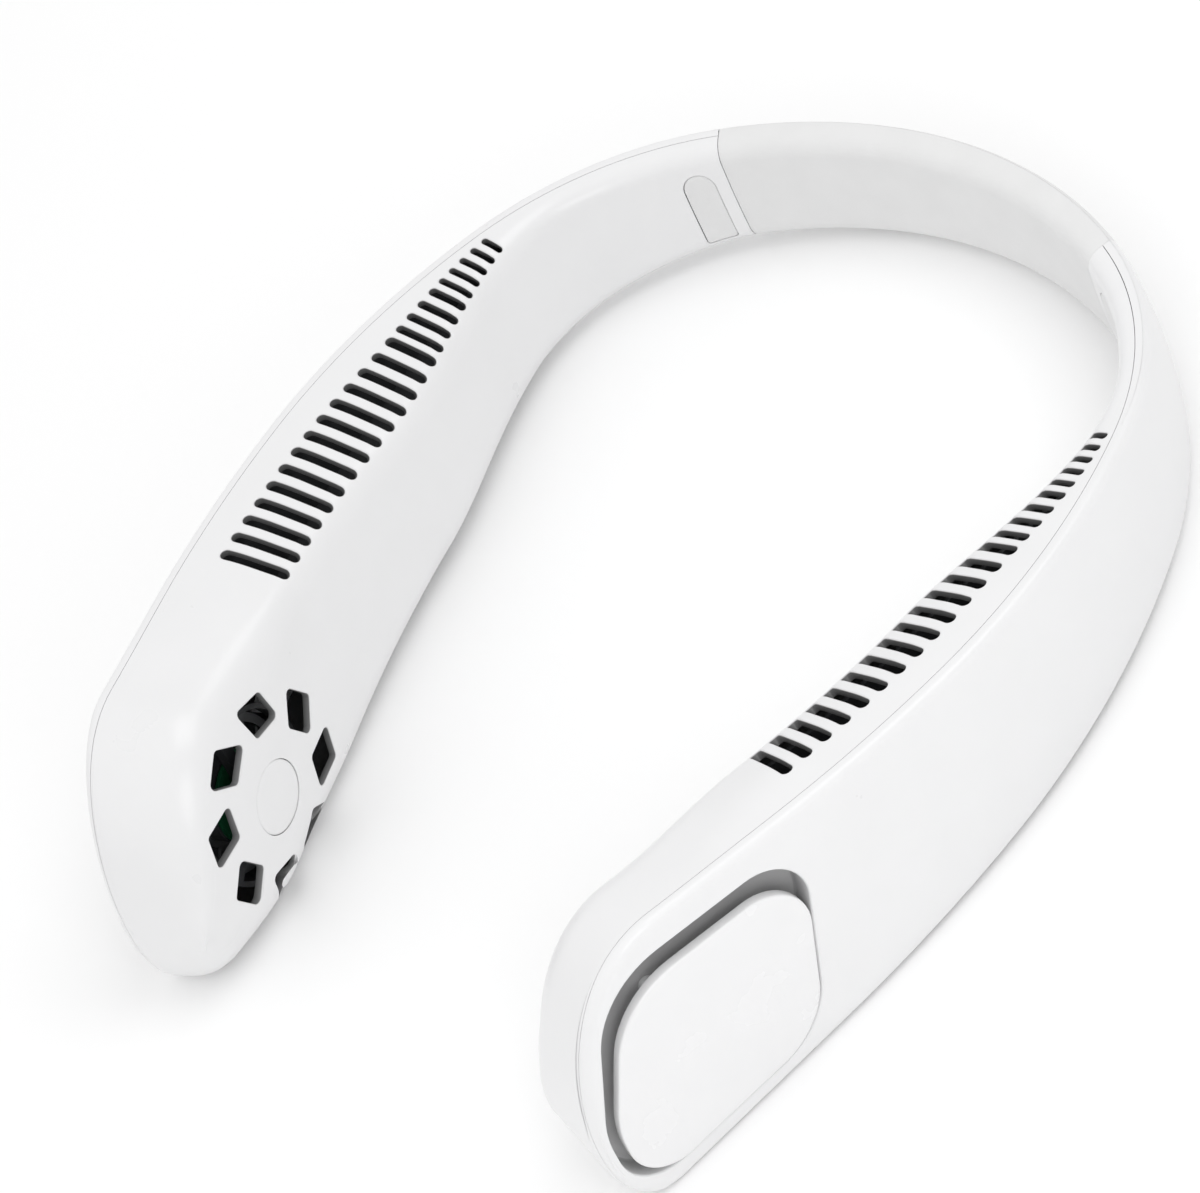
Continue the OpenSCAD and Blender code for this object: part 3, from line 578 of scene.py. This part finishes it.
# %% Frame on the fan's axis
def at_edge(s, ahead, inward, z, side=1):
    x, y, a = place(s)
    return seat(x + ahead * math.cos(a) - inward * math.sin(a),
                y - ahead * math.sin(a) - inward * math.cos(a), z, side)


def at_fan(ahead, down, inward, side=1):
    return at_edge(fan_s, ahead, inward, -fan_drop - down, side)


def flat_loft(outline_at, layers, name, side):
    """A stack of outlines round the fan's axis. Each layer is a depth and a growth."""
    return loft([[at_fan(p.x, p.y, inward, side) for p in outline_at(grow)]
                 for inward, grow in layers], name)


def face_depth(ahead, down):
    """Depth of the inner face of the pod under a point of the fan's frame."""
    s = fan_s + ahead
    z = -fan_drop - down
    _, _, arcs = ring(min(s, arm_len - 0.5))
    line = arcs[2] + arcs[3] + arcs[4]
    for p, q in zip(line, line[1:]):
        if q.y <= z <= p.y:
            return mix(p.x, q.x, (z - p.y) / (q.y - p.y))
    return line[len(line) // 2].x


face_t = face_depth(0, 0)
print("the inner face is", round(face_t, 2), "mm behind the outer face at the fan")

# %% [markdown]
# The intake holes are eight rounded rhombuses in a ring, each turned the same way to the axis.
# They are cut straight through, and their mouth follows the bulge of the inner face.

# %% Intake holes
intake_count, intake_ring_r, intake_side, intake_corner_r = 8, 19, 8.6, 1.2
intake_turns = [math.radians(29), math.radians(100)]


def intake_outline(grow, steps=5):
    a, b = (Vector((math.cos(turn), math.sin(turn))) * intake_side / 2 for turn in intake_turns)
    corners = [(p, intake_corner_r, 0.45, steps) for p in (-a - b, a - b, a + b, b - a)]
    return [p for arc in rounded(corners, -grow) for p in arc]


def intake_cutter(k, side):
    centre_turn = Matrix.Rotation(math.radians(360 / intake_count * (k + 0.5)), 2)
    rings = []
    for over, grow in lip_layers(0.3, wall * 2.4):
        points = []
        for q in intake_outline(grow):
            q = centre_turn @ (q + Vector((intake_ring_r, 0)))
            points.append(at_fan(q.x, q.y, face_depth(q.x, q.y) + over, side))
        rings.append(points)
    return loft(rings, "intake_cutter")


print(intake_count, "intake holes on a ring of", intake_ring_r, "mm")

# %% [markdown]
# The cover plate and its recess share one outline, five corners with large radii. The recess is
# wider above the plate, where the air is drawn in.

# %% Cover plate and recess
plate_shares = [(-1.21, -plate_up), (0.68, -plate_up), (1.18, 0.25), (1.18, plate_down),
                (-0.755, 0.735)]
plate_radius_shares = [0.45, 0.85, 1, 0.4, 0.72]
plate_side_shares = [0.5, 0.5, 0.34, 0.6, 0.48]
rear_lean = (plate_shares[4][0] - plate_shares[0][0]) / (plate_shares[4][1] - plate_shares[0][1])
recess_gaps = [(-edge_gap - top_gap * rear_lean, -top_gap), (cover_gap, -top_gap),
               (cover_gap, 0), (cover_gap, edge_gap), (-edge_gap, edge_gap)]
cover_t, cover_proud, tray_floor, tray_t = 2.5, 0.5, 6.0, 1.5
post_shares = [(-0.76, -0.6), (0.34, -0.66), (0.92, 0.6), (-0.56, 0.5)]
post_r, post_foot_r = 1.8, 1.6


def plate_outline(inset, widened=0, steps=14):
    rows = zip(plate_shares, recess_gaps, plate_radius_shares, plate_side_shares)
    corners = [(Vector(share) * plate_half + Vector(gap) * widened, radius * plate_half, side,
                steps) for share, gap, radius, side in rows]
    points = [p for arc in rounded(corners, inset) for p in arc]
    return points + [points[-1].lerp(points[0], 0.5)]


def recess_outline(grow):
    return plate_outline(-grow, 1)


def recess_cutter(side):
    layers = [(-over, grow) for over, grow in lip_layers(0.7, tray_floor - 0.6, 6)]
    layers += [(tray_floor - 0.3, -0.1), (tray_floor - 0.08, -0.3), (tray_floor, -0.6)]
    return flat_loft(recess_outline, layers, "recess_cutter", side)


def fan_cover(side):
    top, back = -cover_proud, cover_t - cover_proud
    layers = [(top - 0.12, -4.0), (top - 0.1, -2.0), (top - 0.05, -1.0), (top, -0.5),
              (top + 0.12, -0.2), (top + 0.3, -0.05), (top + 0.55, 0.0),
              (back - 0.4, 0.0), (back - 0.1, -0.12), (back, -0.4)]
    plate = flat_loft(lambda grow: plate_outline(-grow), layers, "cover", side)
    layers = [(back - 0.15, post_r), (tray_floor - 0.3, post_r), (tray_floor, post_foot_r)]
    posts = [loft([[at_fan(x, y, inward, side)
                    for x, y in circle(radius, 24, ahead * plate_half, down * plate_half)]
                   for inward, radius in layers], "post") for ahead, down in post_shares]
    return boolean(plate, join(posts, "posts"), "UNION")


print("the cover plate is", round((plate_up + plate_down) * plate_half, 1), "mm high")

# %% [markdown]
# Beside the band, a silicone tab lies in a shallow pocket and covers the screw that holds the
# band. It is a thin plate that follows the inner face, with a round top and softened edges, and
# the cutter for its pocket is the same plate, a little larger.

# %% Silicone tab
tab_s, tab_w, tab_top, tab_foot, tab_t = 7.5, 8, -7, 4.2, 1.2
tab_rows, tab_columns = 24, 20


def tab_plate(side, grow, front, back, soft, name):
    """A plate on the inner face, from back to front over the surface, with its edge softened."""
    half = tab_w / 2 + grow
    centre_z = tab_top - tab_w / 2
    rings = []
    for i in range(tab_columns + 1):
        x = -half * math.cos(math.pi * i / tab_columns)
        s = tab_s + x
        top = centre_z + math.sqrt(max(0, half * half - x * x))
        past = max(0, abs(x) - half + 1)
        foot = tab_foot - height_at(s) - grow - math.sqrt(max(0, 1 - past * past))
        faces = ([], [])
        for k in range(tab_rows + 1):
            z = mix(top, foot, (1 - math.cos(math.pi * k / tab_rows)) / 2)
            room = half - (math.hypot(x, z - centre_z) if z > centre_z else abs(x))
            room = min(room, z - foot)
            edge = 1 - min(1, max(0, room / soft)) if soft else 0
            p, out = on_belt(s, length_at(s, z, 1, -1))
            for spots, lift in zip(faces, (front - soft * (1 - math.sqrt(1 - edge * edge)), back)):
                spots.append(point(s, p.x + out.x * lift, p.y + out.y * lift, side))
        rings.append(faces[0] + faces[1][::-1])
    return loft(rings, name)


print("the tab is", tab_w, "mm wide")

# %% [markdown]
# The controls sit on the underside of the left arm, in a frame of their own: ahead, outwards, and
# up into the arm from its surface. The photograph doesn't show them, so they are kept plain.

# %% Frame of the controls
housing_out, housing_gap = impeller_r + 2.2, 2
duct_from = vent_list[-1][0] - end_pitch
cell_s = (duct_from + fan_s - housing_out - housing_gap) * 0.555
half_cell, board_gap, board_len = 25, 6, 24
control_s, control_w = cell_s - half_cell - board_len / 2 - board_gap, wall + rim + 4.5
usb_along, light_along, button_along = -0.3 * board_len, 0, 0.3 * board_len
usb_size, light_size, button_size = (9, 3.2), (2, 2), (8, 8)
fall = math.atan2(pod_h - band_h, seam_y - foot_y)


def at_controls(along, x, y, z):
    y, z = (y * math.cos(under_slope) + z * math.sin(under_slope),
            z * math.cos(under_slope) - y * math.sin(under_slope))
    x, z = x * math.cos(fall) + z * math.sin(fall), z * math.cos(fall) - x * math.sin(fall)
    s = control_s + along
    return at_edge(s, x, control_w - y, control_w * math.tan(under_slope) - height_at(s) + z)


def stadium(length, width, steps=8):
    """A slot's outline round the middle, started at one end so that its halves face each other."""
    straight, r = (length - width) / 2, width / 2
    turns = [math.radians(180 * (k + 0.5) / (2 * steps)) for k in range(2 * steps)]
    half = [(straight * (1 if a < math.pi / 2 else -1) + r * math.cos(a), r * math.sin(a))
            for a in turns]
    return half + [(x, -y) for x, y in reversed(half)]


def control_loft(along, layers, name):
    """A stack of slot outlines at the controls. Each layer is a height, a length and a width."""
    return loft([[at_controls(along, x, y, z) for x, y in stadium(length, width)]
                 for z, length, width in layers], name)


def control_cutter(along, length, width):
    layers = [(-over, length + 0.3 + grow * 2, width + 0.3 + grow * 2)
              for over, grow in lip_layers(0.25, wall * 2.4)]
    return control_loft(along, layers, "control_cutter")


print("the controls are", round(control_s), "mm from the band")

# %% [markdown]
# The band's steel strip and cable enter each arm through slots in its end wall. They follow the
# curve of the back, about a point behind the neck.

# %% Slots for the strip and the cable
def on_back(turn, radius, z, side=1):
    a = math.radians(turn)
    return seat(radius * math.sin(a), radius * math.cos(a) - back_r, z, side)


core_w, strip_half, strip_flat = band_t * 0.48, 7, 6.8
strip_z = -5.2 - strip_half
cable_r, cable_gap = 0.9, 0.6
cable_z = strip_z - strip_half - cable_r - cable_gap
grip_turn, slot_gap = 7, 0.25


def strip_outline(grow):
    side, end = 0.4 + grow, strip_half + grow
    return [(-side, -strip_flat), (-side, strip_flat), (-0.2, end), (0.2, end),
            (side, strip_flat), (side, -strip_flat), (0.2, -end), (-0.2, -end)]


def cable_outline(grow):
    return circle(cable_r + grow, 12)


def along_back(turns, outline, z, name, side=1):
    return loft([[on_back(turn, back_r - core_w + across, z + up, side) for across, up in outline]
                 for turn in turns], name)


def end_slots(side):
    turns = [back_turn - 1 + k for k in range(grip_turn + 2)]
    return join([along_back(turns, strip_outline(slot_gap), strip_z, "strip_slot", side),
                 along_back(turns, cable_outline(slot_gap), cable_z, "cable_slot", side)],
                "end_slots")


def screw_bore(side, radius, w0, w1):
    """A bore into the arm for the screw that holds the strip."""
    return loft([[at_edge(tab_s, x, w, strip_z + y, side) for x, y in circle(radius, 24)]
                 for w in (w0, w1)], "screw_bore")


print("strip and cable reach", grip_turn, "degrees into each arm")

# %% [markdown]
# Boolean cuts leave thin triangles round every hole, and smooth shading would show them as
# creases in a glossy white skin. The cure is to keep the shading of the uncut skin: each corner
# of the result that still lies on it takes the normal that the skin has there.

# %% Smooth shading
def corner_normals_from(piece, skin, near=0.03):
    """Gives the faces of piece that lie on skin the skin's own smooth normals."""
    source = skin.data
    source.calc_loop_triangles()
    triangles = [tuple(t.vertices) for t in source.loop_triangles]
    spots = [v.co.copy() for v in source.vertices]
    normals = [Vector(n.vector) for n in source.vertex_normals]
    tree = BVHTree.FromPolygons(spots, triangles)
    mesh = piece.data
    for face in mesh.polygons:
        face.use_smooth = True
    mesh.set_sharp_from_angle(angle=math.radians(28))
    found = {}
    for v in mesh.vertices:
        where, _, index, distance = tree.find_nearest(v.co)
        if distance is not None and distance < near * mm:
            ids = triangles[index]
            shares = poly_3d_calc([spots[i] for i in ids], where)
            normal = sum((normals[i] * share for i, share in zip(ids, shares)), Vector())
            if normal.length > 0:
                found[v.index] = normal.normalized()
    corner = [Vector(n.vector) for n in mesh.corner_normals]
    for face in mesh.polygons:
        for loop in face.loop_indices:
            normal = found.get(mesh.loops[loop].vertex_index)
            if normal is not None and normal.dot(face.normal) > 0.9:
                corner[loop] = normal
    mesh.normals_split_custom_set(corner)


def smooth_by_angle(piece, degrees=30):
    for face in piece.data.polygons:
        face.use_smooth = True
    piece.data.set_sharp_from_angle(angle=math.radians(degrees))


# %% [markdown]
# The gaps and slots of the real fan look dark, because light is lost between their walls. So each
# point of a shell is marked with how deep under the skin it lies, and the finish paints shade by
# it.

# %% Painted shade on the walls of the openings
def paint_shade_by_depth(piece, skin, shallow, deep, most):
    """How far under the skin each point lies, from 0 to most, as the share of painted shade there.
    """
    tree = BVHTree.FromObject(skin, bpy.context.evaluated_depsgraph_get())
    shade_marks = piece.data.attributes.new("painted_shade_depth", "FLOAT", "POINT")
    for k, vertex in enumerate(piece.data.vertices):
        under = tree.find_nearest(vertex.co)[3] / mm
        shade_marks.data[k].value = most * ease((under - shallow) / (deep - shallow))


# %% [markdown]
# Now the casing itself. The skin less the hollow is one shell, and a slab behind the outer edge
# parts it in two: the outer shell with the recess, and the inner shell with the vents. A gap of
# 0.15 mm is left between them, which shows as the fine line along the whole fan.

# %% Shells
lug_ring_r, small_bore_r, screw_head_r = 21.5, 0.95, 2.05
disc_r, disc_seat_r, disc_seat = 8.0, 8.15, 1.2


def tube_at_fan(radius, w0, w1, side, steps=48, out=0.0, turn=0.0):
    x, y = out * math.cos(math.radians(turn)), out * math.sin(math.radians(turn))
    return loft([[at_fan(*p, w, side) for p in circle(radius, steps, x, y)] for w in (w0, w1)],
                "tube")


def shells(side, word):
    skin = smooth_arm(side)
    casing = add("casing", skin.data.copy())
    boolean(casing, arm_hollow(side, wall, wall * 2))
    outer = add(word + "_outer_casing", casing.data.copy())
    boolean(outer, slab(side, -8, rim), "INTERSECT")
    tray = flat_loft(lambda grow: recess_outline(tray_t), [(-0.5, 0), (tray_floor + tray_t, 0)],
                     "tray", side)
    boolean(tray, arm_hollow(side, wall * 0.5, wall * 2), "INTERSECT")
    boolean(outer, tray, "UNION")
    boolean(outer, recess_cutter(side))
    lugs = [tube_at_fan(small_bore_r, 2, 12, side, 16, lug_ring_r, turn) for turn in (60, 150)]
    boolean(outer, join([tube_at_fan(impeller_r * 0.86, 2, 12, side)] + lugs, "bores"))
    boolean(outer, end_slots(side))
    boolean(outer, screw_bore(side, small_bore_r, -0.4, 4))
    inner = casing
    inner.name = word + "_inner_casing"
    boolean(inner, slab(side, -8, rim + parting))
    boolean(inner, join([vent_cutter(s, width, side) for s, width in vent_list], "vents"))
    boolean(inner, join([intake_cutter(k, side) for k in range(intake_count)], "intakes"))
    boolean(inner, tube_at_fan(disc_seat_r, face_t - disc_seat, pod_t + 3, side))
    boolean(inner, end_slots(side))
    boolean(inner, screw_bore(side, screw_head_r, 2, 6))
    boolean(inner, tab_plate(side, 0.15, 0.6, -tab_t - 0.15, 0, "tab_pocket"))
    if side == 1:
        boolean(inner, join([control_cutter(usb_along, *usb_size),
                             control_cutter(light_along, *light_size),
                             control_cutter(button_along, *button_size)], "control_openings"))
    # Painted shade: points deep in the recess, vents and holes are marked for the finish to darken.
    for piece, shallow, deep, most in ((outer, 0.6, 5.5, 0.5), (inner, 0.05, 0.4, 1)):
        paint_shade_by_depth(piece, skin, shallow, deep, most)
        corner_normals_from(piece, skin)
        print(piece.name, len(piece.data.polygons), "faces")
    bpy.data.objects.remove(skin)
    return outer, inner


sides = ((1, "left"), (-1, "right"))
casings = {word: shells(side, word) for side, word in sides}

# %% [markdown]
# The small disc closes the middle of the intake holes, a hair's breadth from its seat, and is
# bare. Its face follows the bulge of the inner face, and its edge is softened.

# %% Hub disc
def hub_disc(side, word):
    layers = [(3, 0), (7.2, 0), (7.8, 0.06), (disc_r, 0.25), (disc_r, disc_seat - 0.1)]
    disc = loft([[at_fan(x, y, face_depth(x, y) - down, side) for x, y in circle(radius, 72)]
                 for radius, down in layers], word + "_disc")
    smooth_by_angle(disc, 40)
    return disc


print("a disc is", disc_r * 2, "mm across")

# %% [markdown]
# The charging socket is a drawn steel shell with a tongue in it, the light is a milky rod with a
# rounded end, and the button is a dished cap with a flange that keeps it in the arm.

# %% Controls
board_z = wall + 4


def charging_socket():
    shell = control_loft(usb_along, [(0.02, 8.9, 3.1), (0.1, *usb_size),
                                     (board_z - 0.15, *usb_size)], "charging_socket")
    boolean(shell, control_loft(usb_along, [(-1, 8.4, 2.6), (4.7, 8.4, 2.6)], "mouth"))
    tongue = control_loft(usb_along, [(0.55, 5.8, 0.55), (0.7, 6, 0.66), (4.9, 6, 0.66)], "tongue")
    return boolean(shell, tongue, "UNION")


def turned(along, profile, name):
    return control_loft(along, [(z, r * 2, r * 2) for z, r in profile], name)


def button_cap():
    profile = [(-0.18, 0.6), (-0.18, 1.6), (-0.21, 2.4), (-0.27, 3.1), (-0.3, 3.5), (-0.28, 3.75),
               (-0.2, 3.92), (-0.05, 4.0), (1.85, 4.0), (1.95, 4.1), (1.95, 4.7), (2.02, 4.8),
               (2.7, 4.8), (2.75, 4.7)]
    return turned(button_along, profile, "button_cap")


def light_rod():
    profile = [(0.0, 0.2), (0.01, 0.5), (0.06, 0.75), (0.16, 0.92), (0.35, 1.0),
               (board_z - 0.2, 1.0)]
    return turned(light_along, profile, "light_rod")


# %% [markdown]
# The band is a soft sleeve with the section of the arm's end, swept round the back of the neck.
# Inside it runs the steel strip that makes it spring back, and a cable.

# %% Band
seam_gap, soft_turn, soft_shrink = 0.075, 0.12, 0.03
end_ring = ring_points(0.001)
sleeve_turns = [mix(back_turn - seam_gap, seam_gap - back_turn, k / 72) for k in range(73)]
sleeve_turns[1:1] = [back_turn - seam_gap - soft_turn]
sleeve_turns[-1:-1] = [seam_gap - back_turn + soft_turn]


def sleeve_ring(turn, shrink):
    return [on_back(turn, back_r - (p.z + (band_t / 2 - p.z) * shrink),
                    p.y + (-band_h / 2 - p.y) * shrink * 0.25) for p in end_ring]


sleeve = loft([sleeve_ring(turn, soft_shrink if i in (0, len(sleeve_turns) - 1) else 0.0)
               for i, turn in enumerate(sleeve_turns)], "neck_band")
smooth_by_angle(sleeve, 50)

core_turns = [mix(back_turn + grip_turn, -back_turn - grip_turn, k / 96) for k in range(97)]
strip = along_back(core_turns, strip_outline(0), strip_z, "spring_steel")
cable = along_back(core_turns, cable_outline(0), cable_z, "cable_core")
smooth_by_angle(strip)
smooth_by_angle(cable, 60)
print("the band has", sum(len(piece.data.polygons) for piece in (sleeve, strip, cable)), "faces")

# %% [markdown]
# A finish is more than a colour. Moulded plastic has a fine orange-peel skin, slightly uneven
# gloss and a trace of grain, and each is a layer of noise on Object coordinates. Where a point is
# marked as deep in an opening, shade is painted: the colour darkens as the light does there.

# %% What a finish is made of
# Painted shade: the share of its colour that a point keeps deep in an opening.
painted_shade_share = 0.16


def set_inputs(node, values):
    for socket, value in values.items():
        node.inputs[socket].default_value = value


def finish(name, colour, rough, bump=0.02, grain=900.0, mottle=0.02, metal=0.0, coat=0.0,
           sheen=0.0, spread=0.06, specular=0.5, subsurface=0.0):
    material = bpy.data.materials.new(name)
    material.use_nodes = True
    nodes, links = material.node_tree.nodes, material.node_tree.links
    shader = nodes["Principled BSDF"]
    where = nodes.new("ShaderNodeTexCoord")
    cloud, skin = nodes.new("ShaderNodeTexNoise"), nodes.new("ShaderNodeTexNoise")
    for texture, scale, detail in ((cloud, grain / 22, 4), (skin, grain, 3)):
        set_inputs(texture, {"Scale": scale, "Detail": detail})
        links.new(where.outputs["Object"], texture.inputs["Vector"])
    tint = nodes.new("ShaderNodeValToRGB")
    ramp = tint.color_ramp.elements
    for end, position, share in zip(ramp, (0.3, 0.7), (1 - mottle, 1 + mottle)):
        end.position = position
        end.color = (*[min(1, max(0, c * share)) for c in colour], 1)
    gloss = nodes.new("ShaderNodeMapRange")
    set_inputs(gloss, {"To Min": max(0.02, rough - spread), "To Max": min(1, rough + spread)})
    relief = nodes.new("ShaderNodeBump")
    set_inputs(relief, {"Strength": bump, "Distance": 0.0002})
    links.new(cloud.outputs["Fac"], tint.inputs["Fac"])
    links.new(cloud.outputs["Fac"], gloss.inputs["Value"])
    links.new(skin.outputs["Fac"], relief.inputs["Height"])
    # Painted shade: the colour is mixed towards a dark copy of itself by the depth mark.
    painted_shade_depth = nodes.new("ShaderNodeAttribute")
    painted_shade_depth.attribute_name = "painted_shade_depth"
    shade = nodes.new("ShaderNodeMix")
    shade.data_type = "RGBA"
    set_inputs(shade, {"B": (*[c * painted_shade_share for c in colour], 1)})
    links.new(painted_shade_depth.outputs["Fac"], shade.inputs["Factor"])
    links.new(tint.outputs["Color"], shade.inputs["A"])
    links.new(shade.outputs["Result"], shader.inputs["Base Color"])
    links.new(gloss.outputs["Result"], shader.inputs["Roughness"])
    links.new(relief.outputs["Normal"], shader.inputs["Normal"])
    set_inputs(shader, {
        "Metallic": metal, "Coat Weight": coat, "Coat Roughness": 0.12, "Sheen Weight": sheen,
        "Specular IOR Level": specular, "Subsurface Weight": subsurface,
        "Subsurface Radius": (0.004, 0.004, 0.004), "Subsurface Scale": 1.0})
    return material


# %% [markdown]
# One row of numbers makes each finish: its colour, roughness, depth and fineness of relief, and
# how much the colour varies. The silicone is dull with a little sheen, and the shells have a thin
# clear gloss.

# %% Finishes
finishes = {
    "shell": finish("white_casing", (0.80, 0.80, 0.805), 0.30, 0.05, 1400, 0.008, coat=0.15),
    "silicone": finish("grey_silicone", (0.745, 0.745, 0.745), 0.62, 0.12, 2600, 0.015,
                       sheen=0.15, specular=0.3),
    "plate": finish("white_plate", (0.81, 0.81, 0.815), 0.26, 0.04, 1400, 0.008, coat=0.2),
    "housing": finish("dark_nylon", (0.035, 0.037, 0.04), 0.55, 0.2, 1600, 0.12),
    "blades": finish("grey_blades", (0.06, 0.063, 0.067), 0.4, 0.1, 1600, 0.1),
    "steel": finish("bright_steel", (0.62, 0.62, 0.63), 0.28, 0.1, 2400, 0.04, metal=1.0),
    "magnet": finish("sintered_magnet", (0.05, 0.05, 0.055), 0.45, 0.35, 2200, 0.2, metal=0.6),
    "core": finish("laminated_core", (0.2, 0.21, 0.22), 0.4, 0.3, 2400, 0.1, metal=0.8),
    "copper": finish("copper_wire", (0.72, 0.32, 0.14), 0.3, 0.4, 2600, 0.1, metal=1.0),
    "bronze": finish("porous_bronze", (0.55, 0.36, 0.14), 0.45, 0.4, 3000, 0.12, metal=1.0),
    "board": finish("green_board", (0.012, 0.11, 0.045), 0.35, 0.1, 1800, 0.1, coat=0.3),
    "duct": finish("grey_duct", (0.05, 0.052, 0.055), 0.5, 0.2, 1500, 0.1),
    "cell": finish("blue_wrap", (0.03, 0.12, 0.32), 0.3, 0.06, 1200, 0.05, coat=0.2),
    "pad": finish("foam_rubber", (0.03, 0.03, 0.03), 0.8, 0.5, 2600, 0.2),
    "clamp": finish("grey_clamp", (0.09, 0.093, 0.097), 0.5, 0.2, 1500, 0.1),
    "cable": finish("black_lead", (0.012, 0.012, 0.013), 0.5, 0.1, 1800, 0.1),
    "button": finish("white_button", (0.8, 0.8, 0.805), 0.35, 0.05, 1600, 0.01),
    "switch": finish("black_switch", (0.01, 0.01, 0.01), 0.4, 0.1, 1600, 0.1),
    "light": finish("milky_window", (0.85, 0.9, 0.92), 0.25, 0.02, 1600, 0.01, subsurface=0.3),
}


def dress(piece, slot):
    piece.data.materials.clear()
    piece.data.materials.append(finishes[slot])


print(len(finishes), "finishes")

# %% [markdown]
# Each piece gets its finish, rides on the arm that carries it and stands for its CAD node. The
# button rides on its own body. The sleeve, the strip and the cable cross the band's hinge, so they
# are left in the shared frame, on neither arm.

# %% Pieces on their bodies
for side, word in sides:
    body = word + "_arm"
    outer, inner = casings[word]
    disc = hub_disc(side, word)
    cover = fan_cover(side)
    cover.name = word + "_cover_plate"
    smooth_by_angle(cover, 35)
    tab = tab_plate(side, 0, 0.05, -tab_t, 0.4, word + "_tab")
    smooth_by_angle(tab, 50)
    for piece, slot, node in ((outer, "shell", "outer_shell"), (inner, "shell", "inner_shell"),
                              (disc, "shell", "hub_disc"), (cover, "plate", "fan_cover"),
                              (tab, "silicone", "screw_cover")):
        dress(piece, slot)
        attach(piece, body)
        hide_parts(word + "_" + node)
for piece, slot, node in ((sleeve, "silicone", "band_sleeve"), (strip, "steel", "spring_strip"),
                          (cable, "cable", "band_cable")):
    dress(piece, slot)
    point(0, 0, -14)
    point(0, 0, -14, -1)
    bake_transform(piece)
    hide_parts(node)

for piece, slot, node, body, angle in (
        (charging_socket(), "steel", "usb_socket", "left_arm", 40),
        (light_rod(), "light", "status_light", "left_arm", 50),
        (button_cap(), "button", "power_button", "power_button", 35)):
    smooth_by_angle(piece, angle)
    dress(piece, slot)
    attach(piece, body)
    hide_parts(node)
print("replaced nodes:", sum(node.hide_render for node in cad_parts.values()))

# %% [markdown]
# The parts inside keep their CAD shape, because only a glimpse of them shows through the holes and
# the gap. Each gets a finish by a word in its name. The first word that fits counts, so the pads
# of the battery come before the battery.

# %% Finishes of the CAD nodes
finish_words = {
    "housing_screws": "steel", "fan_housing": "housing", "impeller": "blades",
    "motor_shaft": "steel", "magnet_ring": "magnet", "stator_core": "core",
    "windings": "copper", "bearing": "bronze", "motor_board": "board", "air_duct": "duct",
    "battery_pads": "pad", "battery": "cell", "band_anchor": "clamp", "anchor_screw": "steel",
    "fan_lead": "cable", "control_board": "board", "button_switch": "switch",
}
kept_nodes = {name: node for name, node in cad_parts.items() if not node.hide_render}
for name, node in kept_nodes.items():
    for word, slot in finish_words.items():
        if word in name:
            node.data.materials.clear()
            node.data.materials.append(finishes[slot])
            break
print("kept nodes:", len(kept_nodes))

# %% [markdown]
# The floor is a plain pale sheet. It belongs to the studio and not to the fan.

# %% Floor
floor_bm = bmesh.new()
bmesh.ops.create_grid(floor_bm, x_segments=2, y_segments=2, size=3)
floor = object_from(floor_bm, "floor")
floor.data.materials.append(finish("pale_floor", (0.95, 0.95, 0.95), 0.8, 0.0, 60, 0.003,
                                   specular=0.1))
print("floor", round(floor.dimensions.x, 1), "m wide")

# %% [markdown]
# White plastic on a white floor shows its shape only where the light falls off. So the room isn't
# even: its walls are brightest up and to the left of the picture, and grow dim on the far side.
# A large soft lamp from above lifts the floor and the tops, and a small one the near pod.

# %% Light
world = bpy.data.worlds.new("studio")
bpy.context.scene.world = world
world.use_nodes = True
sky_nodes, sky_links = world.node_tree.nodes, world.node_tree.links
background = sky_nodes["Background"]
set_inputs(background, {"Color": (1, 1, 1, 1)})
direction = sky_nodes.new("ShaderNodeTexCoord")
towards = sky_nodes.new("ShaderNodeVectorMath")
towards.operation = "DOT_PRODUCT"
set_inputs(towards, {1: (-0.45, -0.35, 0.82)})
level = sky_nodes.new("ShaderNodeMapRange")
set_inputs(level, {"From Min": -1, "To Min": 0.46, "To Max": 1.02})
sky_links.new(direction.outputs["Generated"], towards.inputs[0])
sky_links.new(towards.outputs["Value"], level.inputs["Value"])
sky_links.new(level.outputs["Result"], background.inputs["Strength"])


def lamp(name, place_at, aim, size, power):
    data = bpy.data.lights.new(name, "AREA")
    data.shape, data.size, data.energy = "SQUARE", size, power
    made = add(name, data)
    made.location = place_at
    made.rotation_euler = (Vector(aim) - Vector(place_at)).to_track_quat("-Z", "Y").to_euler()


lamp("key", (0.5, 0.6, 1.3), (0, 0, 0), 0.9, 4.6)
lamp("side", (0.42, -0.22, 0.3), (0.1, -0.06, 0.02), 0.25, 0.4)
bpy.context.scene.view_settings.view_transform = "Standard"
